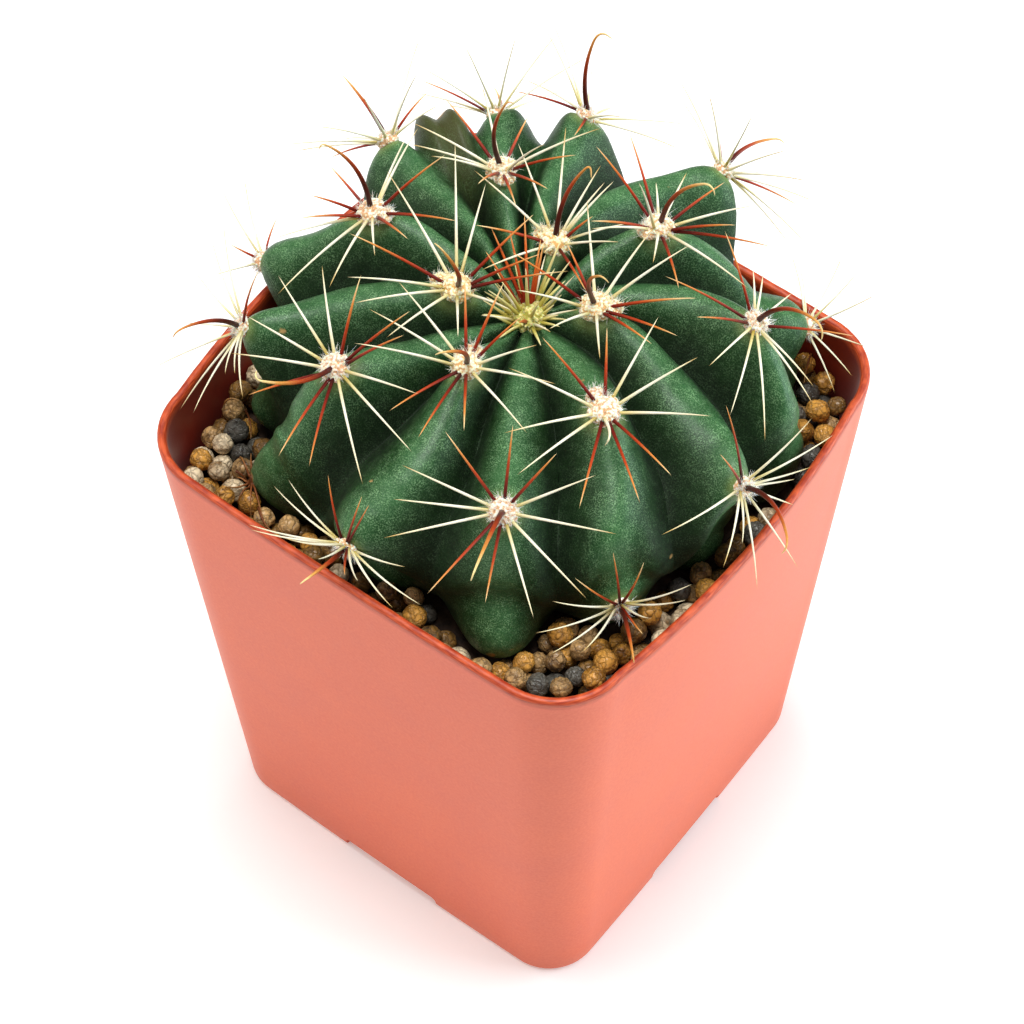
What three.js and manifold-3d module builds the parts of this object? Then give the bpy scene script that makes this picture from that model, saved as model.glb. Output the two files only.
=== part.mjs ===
// A potted round cactus: a ribbed, flattened green globe with starry clusters of spines,
// bedded on clay pellets in a square plastic nursery pot. Millimetres, +Z up,
// origin at the middle of the pot's underside.
import * as THREE from "three";
import { mergeVertices } from "three/addons/utils/BufferGeometryUtils.js";
import Module from "manifold-3d";

// The pot: 64 mm square at the rim, 55 mm at the base, with rounded corners.
const POT_HEIGHT = 75;
const RIM_HALF = 32;
const BASE_HALF = 27.5;
const RIM_CORNER = 9.2;
const BASE_CORNER = 6.6;
const RIM_BOW_X = 2.0;
const RIM_BOW_Y = 0.3;
const BASE_BOW = 0.2;
const WALL = 1.1;
const FLOOR = 1.2;
const FLOOR_EDGE = 0.9;
const RIM_ROUND = 0.35;
const CHANNEL_WIDTH = 15;
const CHANNEL_HEIGHT = 2.0;
const CHANNEL_INNER = 10;
const DRAIN_RADIUS = 1.8;
const DRAIN_FROM_CENTRE = 14;
const DRAIN_SIDES = 10;

// Pieces that touch keep this gap.
const GAP = 0.3;

// The soil and the bed of pellets on it.
const SOIL_TOP = 60;
const BED_TOP = 67.6;
const PELLET_SPACING = 2.92;
const PELLET_RADIUS = 1.5;
const PELLET_SIZE_FROM = 0.86;
const PELLET_SIZE_PLAY = 0.2;
const PELLET_RISE_FROM = 0.35;
const PELLET_RISE_PLAY = 0.45;
const PELLET_JITTER = 0.3;
const PELLET_APART = 1.74;
const PELLET_SHIFT = 1.6;
const PELLET_SEED = 11;

// The plant's axis, and how far it is turned about it, in degrees.
const PLANT_X = -1.3;
const PLANT_Y = 4.1;
const PLANT_TURN = 37.74;
const RIB_COUNT = 13;
// How flat a rib's top is between its furrows, at the crown and on the flank, and how far the
// furrows come to a crease there.
const CROWN_POWER = 1.5;
const FLANK_POWER = 1.15;
const CROWN_CREASE = 0.8;
const FLANK_CREASE = 0.25;
const CREASE_POWER = 2.4;
// Lobes under the areoles: their height, length along the rib, and how far the rib lies lower
// between them. Those low on the flank are pointed.
const LOBE_HEIGHT = 2.0;
const LOBE_SPREAD = 0.9;
const LOBE_SINK = 0.6;
const POINT_HEIGHT = 3.0;
const POINT_SINK = 1.2;
// The globe keeps this far from the pot's wall, and spreads again above the rim.
const WALL_PLAY = 0.9;
const RIM_CLEAR_SLOPE = 1.15;
const FREE_HEIGHT = 84;

// Outlines of a rib's crest and of the furrow between ribs, as [radius, height], from the
// crown out over the shoulder and down to the flat underside. A place along a rib is a number
// that counts these points.
const CREST = [
  [0, 84.6], [4.5, 85.9], [9.5, 86.9], [16, 87.2], [22.5, 86.6], [27.6, 85.3], [31.2, 83.0],
  [32.6, 79.2], [31.8, 75.6], [32.4, 72.0], [33.2, 68.8], [31.4, 65.8], [27.0, 64.2], [21.0, 64.0],
];
const FURROW = [
  [0, 84.4], [4.2, 84.4], [8.8, 84.0], [14.8, 82.6], [20.2, 80.8], [24.4, 78.6], [27.0, 76.0],
  [28.2, 73.6], [28.6, 71.4], [28.6, 69.2], [27.8, 67.0], [26.4, 65.3], [24.0, 64.2], [20.6, 64.0],
];
const LAST_PLACE = CREST.length - 1;

// The root neck under the globe, as [radius, height].
const NECK = [[8.0, 64.0], [6.8, 57.0], [2.6, 46.0]];
const NECK_TIP = 43;
const NECK_HOLE_SIDES = 18;

// Where a furrow stands out: the rib before it, the place along it, how far, how wide, and how
// far along. The first is a small corky lobe wedged between two ribs, and the last four are
// shallow furrows on the side that has grown fullest.
const FURROW_FORMS = [
  { rib: 7, place: 5.9, height: 9.5, width: 0.45, spread: 1.2 },
  { rib: 6, place: 6.0, height: 5.0, width: 0.7, spread: 1.2 },
  { rib: 11, place: 8.6, height: 1.5, width: 0.6, spread: 1.6 },
  { rib: 12, place: 6.3, height: 2.4, width: 0.6, spread: 2.2 },
  { rib: 0, place: 6.3, height: 2.8, width: 0.6, spread: 2.4 },
  { rib: 1, place: 6.3, height: 3.0, width: 0.6, spread: 2.2 },
];

// The reference view in which the spine tips were read: a 1024-pixel square frame.
const VIEW_POINT = new THREE.Vector3(126.74, -164.71, 351.34);
const VIEW_AZIMUTH = 37.74;
const VIEW_ELEVATION = 55.23;
const VIEW_ROLL = -0.57;
const VIEW_FOCAL = 3000;
const FRAME_MIDDLE = 512;

// Spines: half-width at the root, how far it narrows by the last joint, and how they like to
// stand, in degrees above the skin and millimetres of length.
const SPINE_HALF_WIDTH = 0.23;
const HOOK_HALF_WIDTH = 0.3;
const SPINE_TAPER = 0.62;
const SPINE_ROOTING = 0.2;
const RADIAL_RISE = 24;
const RED_RISE = 30;
const HOOK_RISE = 58;
const RADIAL_LENGTH = 12.5;
const RED_LENGTH = 11;
const HOOK_LENGTH = 13;
const SPINE_ARCH = 0.05;
const RISE_TOLERANCE = 14;
const LENGTH_TOLERANCE = 3;
const LEAST_RISE = 2;
const GREATEST_LENGTH = 19;
const HOOK_ROUNDNESS = 1.1;
const FOOT_SHARE = 0.4;
// How far from its areole's depth a tip is looked for along the line of sight.
const DEPTH_BEHIND = -14;
const DEPTH_BEFORE = 16;
const DEPTH_STEP = 0.5;
// What spines keep clear of each other, of the skin, the pads, the rim, the wall and the bed.
const SPINE_CLEARANCE = 0.62;
const STEM_CLEARANCE = 0.7;
const PAD_CLEARANCE = 0.4;
const RIM_CLEARANCE = 0.8;
const BED_CLEARANCE = 3.2;
// A full star has this many places, and one more spine fills a wide gap between them.
const STAR_SIZE = 11;
const STAR_GAP = 0.75;
const FILL_RISES = [20, 28, 36, 12, 44];
const FILL_LENGTH = 11;
const SMALL_FILL_LENGTH = 8.5;
const SMALL_PAD = 1.45;
const FILL_LENGTH_PLAY = 2;
const FILL_CLOCK_PLAY = 0.2;

// Each rib: its azimuth at the crown and at the flank, in degrees about the plant's axis, where
// its crest bends aside as [place, degrees, spread], the forms that stand out or in from the
// common crest as [place, height, spread], and its areoles. An areole has its place along the
// rib, its pad's radius, and the tips of its spines as read in the reference view, in pixels.
// A hooked spine has the end of its shaft and the tip of its hook.
const RIBS = [
  { crown: 263, flank: 264, forms: [[9.7, 2.8, 1.5]], areoles: [
    { place: 5.0, pad: 2.0, hook: [[479, 560], [471, 581]],
      pale: [[402, 465], [393, 499], [383, 538], [587, 599], [617, 534], [596, 475], [534, 619]],
      red: [[427, 594], [485, 604], [557, 453], [513, 425], [445, 431]] }] },
  { crown: 301, flank: 287, areoles: [
    { place: 3.3, pad: 2.2, hook: [[613, 420], [604, 446]],
      pale: [[659, 316], [698, 357], [711, 416], [517, 475], [504, 433], [509, 368]],
      red: [[542, 337], [607, 327], [672, 476], [640, 503], [579, 509]] },
    { place: 8.6, pad: 1.5, hook: [[632, 650], [634, 663]],
      pale: [[552, 601], [535, 633], [550, 654], [582, 652], [649, 618], [686, 600], [692, 584]],
      red: [[575, 578], [613, 552], [644, 562], [643, 634]] }] },
  { crown: 353, flank: 315, bend: [3.4, -14, 1.2], forms: [[10, -4, 1.8]], areoles: [
    { place: 1.7, pad: 2.3, hook: [[599, 276], [609, 283]],
      pale: [[587, 199], [654, 227], [690, 245], [600, 359], [549, 329], [517, 290]],
      red: [[697, 298], [678, 336], [652, 344], [512, 252], [567, 243]] },
    { place: 6.1, pad: 1.5, hook: [[786, 532], [781, 554]],
      pale: [[812, 418], [811, 467], [795, 479], [794, 505], [742, 544], [723, 568], [661, 535]],
      red: [[726, 405], [720, 454]] }] },
  { crown: 374, flank: 341, forms: [[9, 1.5, 1.3]], areoles: [
    { place: 4.5, pad: 1.8, hook: [[811, 317], [821, 341]],
      pale: [[753, 269], [763, 274], [792, 293], [813, 404], [814, 387], [730, 416], [765, 442],
        [709, 366]],
      red: [[665, 276], [725, 231], [696, 317], [854, 336]] }] },
  { crown: 404, flank: 369, forms: [[5.6, -3.5, 1.4]], areoles: [
    { place: 3.3, pad: 2.2, hook: [[702, 184], [715, 196]],
      pale: [[639, 183], [656, 182], [687, 172], [749, 289], [653, 263], [591, 229]],
      red: [[596, 146], [629, 132], [725, 182], [736, 225], [773, 247], [679, 289], [590, 221]] },
    { place: 7.8, pad: 1.4, pale: [[791, 253], [799, 262], [852, 376]], red: [] }] },
  { crown: 429, flank: 404, areoles: [
    { place: 1.9, pad: 2.1, hook: [[585, 169], [591, 179]],
      pale: [[518, 143], [566, 126], [601, 165], [605, 182], [614, 181], [630, 223], [474, 170]],
      red: [[593, 216], [586, 291], [475, 225]] },
    { place: 6.1, pad: 1.6, hook: [[772, 139], [784, 144]],
      pale: [[681, 100], [809, 247], [791, 247], [760, 173]],
      red: [[716, 130], [799, 206], [707, 182]] }] },
  { crown: 446, flank: 436, areoles: [
    { place: 5.7, pad: 1.7, hook: [[593, 43], [613, 40]],
      pale: [[690, 125], [679, 149], [640, 98], [525, 80]],
      red: [[513, 91], [574, 136]] }] },
  { crown: 460, flank: 456, areoles: [
    { place: 3.5, pad: 2.2, hook: [[506, 104], [514, 104]],
      pale: [[413, 123], [409, 144], [431, 156], [545, 144], [601, 128]],
      red: [[445, 98], [529, 115], [576, 155], [548, 189], [516, 206], [478, 184]] },
    { place: 6.2, pad: 1.5, hook: [[497, 92], [494, 88]], pale: [], red: [[420, 80]] }] },
  { crown: 476, flank: 481, areoles: [
    { place: 5.9, pad: 1.7, hook: [[347, 80], [343, 76]],
      pale: [[344, 139], [439, 105]],
      red: [[429, 91], [330, 158]] }] },
  { crown: 492, flank: 517, areoles: [
    { place: 3.9, pad: 2.2, hook: [[326, 145], [319, 150]],
      pale: [[270, 240], [277, 295], [329, 288], [375, 256], [409, 132], [418, 128]],
      red: [[330, 166], [310, 195], [300, 218], [408, 239], [457, 221], [445, 155]] },
    { place: 7.0, pad: 1.4, pale: [[215, 275]], red: [[230, 244], [278, 216]] }] },
  { crown: 528, flank: 540, areoles: [
    { place: 1.8, pad: 2.3, hook: [[444, 252], [434, 243]],
      pale: [[387, 171], [455, 142], [486, 183], [569, 271], [511, 310], [458, 337], [386, 338],
        [354, 303], [347, 277]],
      red: [[534, 214], [540, 254], [551, 273], [349, 233]] },
    { place: 6.1, pad: 1.5, hook: [[188, 326], [173, 338]],
      pale: [[225, 374], [235, 374], [243, 398]],
      red: [[259, 270]] }] },
  { crown: 567, flank: 559, bend: [6.6, 5, 1.6], forms: [[6.4, -2.4, 1.5], [9.2, 1.5, 1.8]],
    areoles: [
    { place: 4.1, pad: 2.1, hook: [[262, 381], [257, 370]],
      pale: [[278, 275], [322, 265], [247, 316], [363, 485], [412, 452], [418, 394]],
      red: [[248, 395], [278, 457], [309, 467], [361, 275], [410, 311], [404, 335]] }] },
  { crown: 592, flank: 593, bend: [3.9, 6, 1.5], forms: [[10, -4.5, 1.7]], areoles: [
    { place: 2.4, pad: 2.1, hook: [[444, 352], [435, 355]],
      pale: [[537, 345], [556, 384], [527, 433], [354, 343], [369, 309], [398, 281]],
      red: [[465, 275], [504, 282], [522, 316], [464, 431], [418, 438], [389, 411]] },
    { place: 7.1, pad: 1.5, hook: [[308, 578], [300, 584]],
      pale: [[273, 485], [288, 479], [285, 538], [318, 559], [358, 581], [393, 608], [421, 605],
        [406, 567]],
      red: [[345, 575], [369, 505], [362, 496], [328, 475]] }] },
];

// Wool pads: how much they are grown, how rough, how high for their width, and how deep set.
const WOOL_GROWTH = 1.08;
const WOOL_ROUGHNESS = 0.2;
const WOOL_HEIGHT = 0.62;
const WOOL_DEPTH = 0.1;
// How high the pads' middles and tops stand over the skin.
const ROOT_LIFT = 0.5;
const ROOT_HEIGHT = 0.3;

// The woolly crown and its young spines, which lean out more and more from the first to the
// last.
const CROWN_PAD = 3.0;
const CROWN_LIFT = 0.6;
const CROWN_SPINES = 12;
const CROWN_LENGTH = 8.5;
const CROWN_LENGTH_FROM = 0.75;
const CROWN_LENGTH_PLAY = 0.35;
const CROWN_LEAN_FROM = 8;
const CROWN_LEAN_PLAY = 38;
const CROWN_FOOT = 1.6;
const CROWN_NUDGE = 11;
const CROWN_NUDGES = 8;
const GOLDEN_ANGLE = 137.5;

// Colour and roughness of each kind of piece.
const FINISHES = {
  pot: [0xe0705a, 0.45],
  soil: [0x3a2a20, 0.95],
  pellets: [0xa88660, 0.85],
  stem: [0x2f6b46, 0.55],
  spines: [0xe8dcc0, 0.8],
  crown: [0xb5532e, 0.8],
};

const wasm = await Module();
wasm.setup();

const radians = THREE.MathUtils.degToRad;

// A repeatable random number from 0 to 1.
function randomSource(seed) {
  let state = seed >>> 0;
  return () => {
    state = (state + 0x6d2b79f5) >>> 0;
    let t = Math.imul(state ^ (state >>> 15), state | 1);
    t = (t + Math.imul(t ^ (t >>> 7), t | 61)) ^ t;
    return ((t ^ (t >>> 14)) >>> 0) / 4294967296;
  };
}

function smoothStep(x) {
  const c = Math.min(Math.max(x, 0), 1);
  return c * c * (3 - 2 * c);
}

// A smooth curve through [radius, height] points, at a place that counts them.
function along(points, place) {
  const last = points.length - 1;
  const p = Math.min(Math.max(place, 0), last);
  const i = Math.min(Math.floor(p), last - 1);
  const w = p - i;
  return [0, 1].map((axis) => {
    const a = points[Math.max(i - 1, 0)][axis];
    const b = points[i][axis];
    const c = points[i + 1][axis];
    const d = points[Math.min(i + 2, last)][axis];
    const v0 = (c - a) / 2;
    const v1 = (d - b) / 2;
    return (2 * b - 2 * c + v0 + v1) * w ** 3 + (3 * c - 3 * b - 2 * v0 - v1) * w ** 2 + v0 * w + b;
  });
}

// A closed solid from rings of equal count, each counterclockwise seen from above, in the order
// in which they run up the outside. The first and last rings close on a point each.
function loft(rings, first, last) {
  const count = rings[0].length;
  const points = [...rings.flat(), first, last];
  const index = [];
  for (let i = 0; i + 1 < rings.length; i++) {
    for (let j = 0; j < count; j++) {
      const a = i * count + j;
      const b = i * count + ((j + 1) % count);
      index.push(a, b, b + count, a, b + count, a + count);
    }
  }
  const foot = rings.length * count;
  const top = (rings.length - 1) * count;
  for (let j = 0; j < count; j++) {
    const next = (j + 1) % count;
    index.push(foot, next, j, foot + 1, top + j, top + next);
  }
  const geometry = new THREE.BufferGeometry();
  geometry.setAttribute("position", new THREE.Float32BufferAttribute(points.flatMap((p) => p.toArray()), 3));
  geometry.setIndex(index);
  return geometry;
}

function solid(geometry) {
  const bare = geometry.clone();
  bare.deleteAttribute("normal");
  bare.deleteAttribute("uv");
  const merged = mergeVertices(bare, 1e-4);
  return new wasm.Manifold(new wasm.Mesh({
    numProp: 3,
    vertProperties: merged.attributes.position.array,
    triVerts: new Uint32Array(merged.index.array),
  }));
}

function meshOf(name, shape, [colour, roughness]) {
  const data = shape.getMesh();
  const geometry = new THREE.BufferGeometry();
  geometry.setAttribute("position", new THREE.BufferAttribute(data.vertProperties, 3));
  geometry.setIndex(new THREE.BufferAttribute(data.triVerts, 1));
  geometry.computeVertexNormals();
  const material = new THREE.MeshStandardMaterial({ color: colour, roughness, metalness: 0 });
  const mesh = new THREE.Mesh(geometry, material);
  mesh.name = name;
  return mesh;
}

// The largest piece of a solid that a cut has left in several.
function mainBody(shape) {
  return shape.decompose().reduce((best, body) => (body.volume() > best.volume() ? body : best));
}

function upright(radius, low, high, x, y) {
  const geometry = new THREE.CylinderGeometry(radius, radius, high - low, DRAIN_SIDES);
  return solid(geometry.rotateX(Math.PI / 2).translate(x, y, (low + high) / 2));
}

function block(width, depth, low, high, x, y) {
  return solid(new THREE.BoxGeometry(width, depth, high - low).translate(x, y, (low + high) / 2));
}

// The pot's outline at a height, pulled in by a margin: a square with round corners whose
// sides bow out a little towards the rim.
const ARC_STEPS = 5;
const SIDE_STEPS = 4;

function potHalf(z) {
  return BASE_HALF + ((RIM_HALF - BASE_HALF) * z) / POT_HEIGHT;
}

function potOutline(z, margin) {
  const share = z / POT_HEIGHT;
  const half = potHalf(z) - margin;
  const corner = Math.max(BASE_CORNER + (RIM_CORNER - BASE_CORNER) * share - margin, 1);
  const points = [];
  for (let side = 0; side < 4; side++) {
    const rimBow = side % 2 === 0 ? RIM_BOW_X : RIM_BOW_Y;
    const bow = BASE_BOW + (rimBow - BASE_BOW) * share;
    const turn = (side * Math.PI) / 2;
    const place = (out, across) => new THREE.Vector3(
      out * Math.cos(turn) - across * Math.sin(turn),
      out * Math.sin(turn) + across * Math.cos(turn),
      z,
    );
    const straight = half - corner;
    for (let i = 1; i < SIDE_STEPS; i++) {
      const across = (2 * i) / SIDE_STEPS - 1;
      points.push(place(half + bow * (1 - across * across), straight * across));
    }
    for (let i = 0; i <= ARC_STEPS; i++) {
      const angle = (i * Math.PI) / (2 * ARC_STEPS);
      points.push(place(straight + corner * Math.cos(angle), straight + corner * Math.sin(angle)));
    }
  }
  return points;
}

function makePot() {
  const mid = POT_HEIGHT / 2;
  const shell = loft(
    [
      potOutline(0, FLOOR_EDGE),
      potOutline(FLOOR_EDGE, 0),
      potOutline(mid, 0),
      potOutline(POT_HEIGHT - RIM_ROUND, 0),
      potOutline(POT_HEIGHT, RIM_ROUND),
      potOutline(POT_HEIGHT, WALL - RIM_ROUND),
      potOutline(POT_HEIGHT - RIM_ROUND, WALL),
      potOutline(SOIL_TOP, WALL),
      potOutline(mid, WALL),
      potOutline(FLOOR + FLOOR_EDGE, WALL),
      potOutline(FLOOR, WALL + FLOOR_EDGE),
    ],
    new THREE.Vector3(0, 0, 0),
    new THREE.Vector3(0, 0, FLOOR),
  );
  let pot = solid(shell);
  // A shallow drain channel runs in from the middle of each side, leaving a foot at each
  // corner and a flat pad in the middle, with a small drain hole at its inner end.
  for (const [dx, dy] of [[1, 0], [0, 1], [-1, 0], [0, -1]]) {
    pot = pot.add(channelBlock(dx, dy, FLOOR, 0));
    pot = pot.subtract(channelBlock(dx, dy, 0, -1));
    pot = pot.subtract(
      upright(DRAIN_RADIUS, -1, POT_HEIGHT / 4, dx * DRAIN_FROM_CENTRE, dy * DRAIN_FROM_CENTRE),
    );
  }
  return pot;
}

// The space of one drain channel, grown on its top and flanks by a margin.
function channelBlock(dx, dy, margin, low) {
  const reach = BASE_HALF + (margin > 0 ? -WALL / 2 : 2);
  const inner = CHANNEL_INNER - margin;
  const length = reach - inner;
  const middle = (reach + inner) / 2;
  const width = CHANNEL_WIDTH + 2 * margin;
  const high = CHANNEL_HEIGHT + margin;
  return dx !== 0
    ? block(length, width, low, high, dx * middle, 0)
    : block(width, length, low, high, 0, dy * middle);
}

// The whole inside of the pot from one height to another.
function potFill(low, high) {
  return solid(loft(
    [potOutline(low, WALL + GAP), potOutline(high, WALL + GAP)],
    new THREE.Vector3(0, 0, low),
    new THREE.Vector3(0, 0, high),
  ));
}

function circle(radius, z) {
  return Array.from({ length: NECK_HOLE_SIDES }, (_, i) => {
    const angle = (i * 2 * Math.PI) / NECK_HOLE_SIDES;
    return new THREE.Vector3(PLANT_X + radius * Math.cos(angle), PLANT_Y + radius * Math.sin(angle), z);
  });
}

// A plain tapered hole for the root neck, open at the top.
function rootHole() {
  const rings = [...NECK].reverse().map(([radius, z]) => circle(radius + 2 * GAP, z));
  rings.push(circle(NECK[0][0] + 2 * GAP, POT_HEIGHT));
  return solid(loft(
    rings,
    new THREE.Vector3(PLANT_X, PLANT_Y, NECK_TIP - 2 * GAP),
    new THREE.Vector3(PLANT_X, PLANT_Y, POT_HEIGHT),
  ));
}

function makeSoil() {
  let soil = solid(loft(
    [
      potOutline(FLOOR + GAP, WALL + FLOOR_EDGE + GAP),
      potOutline(FLOOR + FLOOR_EDGE + GAP, WALL + GAP),
      potOutline(POT_HEIGHT / 2, WALL + GAP),
      potOutline(SOIL_TOP, WALL + GAP),
    ],
    new THREE.Vector3(0, 0, FLOOR + GAP),
    new THREE.Vector3(0, 0, SOIL_TOP),
  ));
  for (const [dx, dy] of [[1, 0], [0, 1], [-1, 0], [0, -1]]) {
    soil = soil.subtract(channelBlock(dx, dy, FLOOR + GAP, 0));
  }
  return mainBody(soil.subtract(rootHole()));
}

// A rib's azimuth at a place along it. Ribs past the last one count on round the plant.
function ribAzimuth(rib, place) {
  const round = Math.floor(rib / RIB_COUNT);
  const { crown, flank, bend } = RIBS[rib - round * RIB_COUNT];
  const aside = bend ? bend[1] * Math.exp(-(((place - bend[0]) / bend[2]) ** 2)) : 0;
  return crown + (flank - crown) * smoothStep((place - 1.5) / 5) + aside + 360 * round;
}

// How far the pot's inner wall lies from the plant's axis.
function wallDistance(azimuth, z) {
  const half = potHalf(Math.min(z, POT_HEIGHT)) - WALL;
  const c = Math.cos(azimuth);
  const s = Math.sin(azimuth);
  const toX = (Math.sign(c) * half - PLANT_X) / c;
  const toY = (Math.sign(s) * half - PLANT_Y) / s;
  return Math.min(toX, toY);
}

// The lesser of two numbers, with a smooth change from one to the other.
function softLesser(a, b, width) {
  const h = Math.min(Math.max(0.5 + (0.5 * (b - a)) / width, 0), 1);
  return b + (a - b) * h - width * h * (1 - h);
}

// How far the skin has sunk from a rib's crest towards the furrow, from 0 to 1. Round the
// crown the crests are broad and the furrows creased, and lower down both are round.
function furrowShare(side, place) {
  const down = smoothStep((place - 1.5) / 4);
  const power = CROWN_POWER + (FLANK_POWER - CROWN_POWER) * down;
  const crease = CROWN_CREASE + (FLANK_CREASE - CROWN_CREASE) * down;
  const round = Math.sin((Math.abs(side) ** power * Math.PI) / 2) ** 2;
  return round * (1 - crease) + Math.abs(side) ** CREASE_POWER * crease;
}

// A point of the skin. Across a rib, side runs from -1 in one furrow through 0 on the crest to 1
// in the next. Lift moves the point out from the skin.
function skin(rib, side, place, lift = 0) {
  const from = ribAzimuth(rib, place);
  const to = ribAzimuth(rib + (side > 0 ? 1 : -1), place);
  const azimuth = radians(from + (to - from) * 0.5 * Math.abs(side) + PLANT_TURN);
  const depth = furrowShare(side, place);
  const crest = along(CREST, place);
  const furrow = along(FURROW, place);
  const before = along(CREST, place - 0.02);
  const after = along(CREST, place + 0.02);
  const step = Math.hypot(after[0] - before[0], after[1] - before[1]) || 1;
  const outR = (before[1] - after[1]) / step;
  const outZ = (after[0] - before[0]) / step;
  const ring = ((rib % RIB_COUNT) + RIB_COUNT) % RIB_COUNT;
  let swell = -LOBE_SINK;
  for (const [middle, height, spread] of RIBS[ring].forms ?? []) {
    swell += height * Math.exp(-(((place - middle) / spread) ** 2));
  }
  // Lobes low on the flank are the most pointed.
  for (const areole of RIBS[ring].areoles) {
    const point = smoothStep((areole.place - 4) / 2.5);
    const lobe = Math.exp(-(((place - areole.place + 0.15) / LOBE_SPREAD) ** 2));
    swell += (LOBE_HEIGHT + (POINT_HEIGHT - LOBE_HEIGHT) * point) * lobe * (1 - depth) ** point;
    swell -= POINT_SINK * point * Math.exp(-(((place - areole.place) / 2.5) ** 2));
  }
  swell *= (1 - depth) * smoothStep(place / 2) * smoothStep((LAST_PLACE - 0.5 - place) / 2);
  let wedge = 0;
  for (const form of FURROW_FORMS) {
    if ((ring === form.rib && side > 0) || (ring === (form.rib + 1) % RIB_COUNT && side < 0)) {
      const across = Math.exp(-(((1 - Math.abs(side)) / form.width) ** 4));
      wedge += form.height * across * Math.exp(-(((place - form.place) / form.spread) ** 2));
    }
  }
  let radius = crest[0] + (furrow[0] - crest[0]) * depth + outR * (swell + lift + wedge);
  const z = crest[1] + (furrow[1] - crest[1]) * depth + outZ * (swell + lift + wedge);
  // Where the globe would press on the pot it keeps clear of the wall, and spreads again
  // above the rim.
  const room = wallDistance(azimuth, z) - WALL_PLAY + RIM_CLEAR_SLOPE * Math.max(0, z - POT_HEIGHT);
  if (z < FREE_HEIGHT) radius = softLesser(radius, room + lift, 2);
  return new THREE.Vector3(
    PLANT_X + radius * Math.cos(azimuth),
    PLANT_Y + radius * Math.sin(azimuth),
    z,
  );
}

// The skin's outward normal.
function skinNormal(rib, side, place) {
  const e = 0.03;
  const s0 = side > 0.9 ? side - e : side;
  const down = skin(rib, side, place + e).sub(skin(rib, side, place - e));
  const across = skin(rib, s0 + e, place).sub(skin(rib, s0, place));
  return down.cross(across).normalize();
}

// The stem's rings have these points across each rib, and follow each other at this step.
const SIDES = [-1, -2 / 3, -1 / 3, 0, 1 / 3, 2 / 3];
const PLACE_STEP = 0.5;

function stemSolid(lift) {
  const skinRing = (place) => RIBS.flatMap((_, rib) => SIDES.map((side) => skin(rib, side, place, lift)));
  // The neck's rings start where the ribs' rings do.
  const angles = skinRing(LAST_PLACE).map((point) => Math.atan2(point.y - PLANT_Y, point.x - PLANT_X));
  const rings = [...NECK].reverse().map(([radius, z]) => angles.map((angle) => new THREE.Vector3(
    PLANT_X + radius * Math.cos(angle),
    PLANT_Y + radius * Math.sin(angle),
    z,
  )));
  for (let place = LAST_PLACE; place > 0; place -= PLACE_STEP) {
    const isFlat = place > LAST_PLACE - 2 || place < 2;
    if (isFlat && place % 1 !== 0) continue;
    rings.push(skinRing(place));
  }
  return solid(loft(
    rings,
    new THREE.Vector3(PLANT_X, PLANT_Y, NECK_TIP),
    new THREE.Vector3(PLANT_X, PLANT_Y, CREST[0][1] + lift),
  ));
}

const stem = stemSolid(0);
const grownStem = stemSolid(GAP);

// Points of the skin with their normals, for keeping spines clear of it.
const skinPoints = [];
for (let rib = 0; rib < RIB_COUNT; rib++) {
  for (const side of SIDES) {
    for (let place = PLACE_STEP; place <= LAST_PLACE; place += PLACE_STEP) {
      skinPoints.push({ at: skin(rib, side, place), out: skinNormal(rib, side, place) });
    }
  }
}

function heightOverSkin(point) {
  let best = Infinity;
  let height = 0;
  for (const { at, out } of skinPoints) {
    const distance = point.distanceToSquared(at);
    if (distance < best) {
      best = distance;
      height = point.clone().sub(at).dot(out);
    }
  }
  return height;
}

// Where a pellet comes to lie, clear of the wall and of the globe, or nothing where there is
// no room.
function settle(spot, radius) {
  const half = potHalf(spot.z) - WALL - GAP - radius;
  const corner = RIM_CORNER - radius;
  const inner = half - corner;
  const beside = new THREE.Vector2(
    Math.max(Math.abs(spot.x) - inner, 0),
    Math.max(Math.abs(spot.y) - inner, 0),
  );
  beside.clampLength(0, corner);
  const place = spot.clone();
  if (beside.x > 0) place.x = Math.sign(spot.x) * (inner + beside.x);
  if (beside.y > 0) place.y = Math.sign(spot.y) * (inner + beside.y);
  const away = new THREE.Vector3(place.x - PLANT_X, place.y - PLANT_Y, 0).normalize();
  const short = radius + GAP - heightOverSkin(place);
  if (short > PELLET_SHIFT) return null;
  if (short > 0) place.addScaledVector(away, short);
  return place;
}

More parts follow.
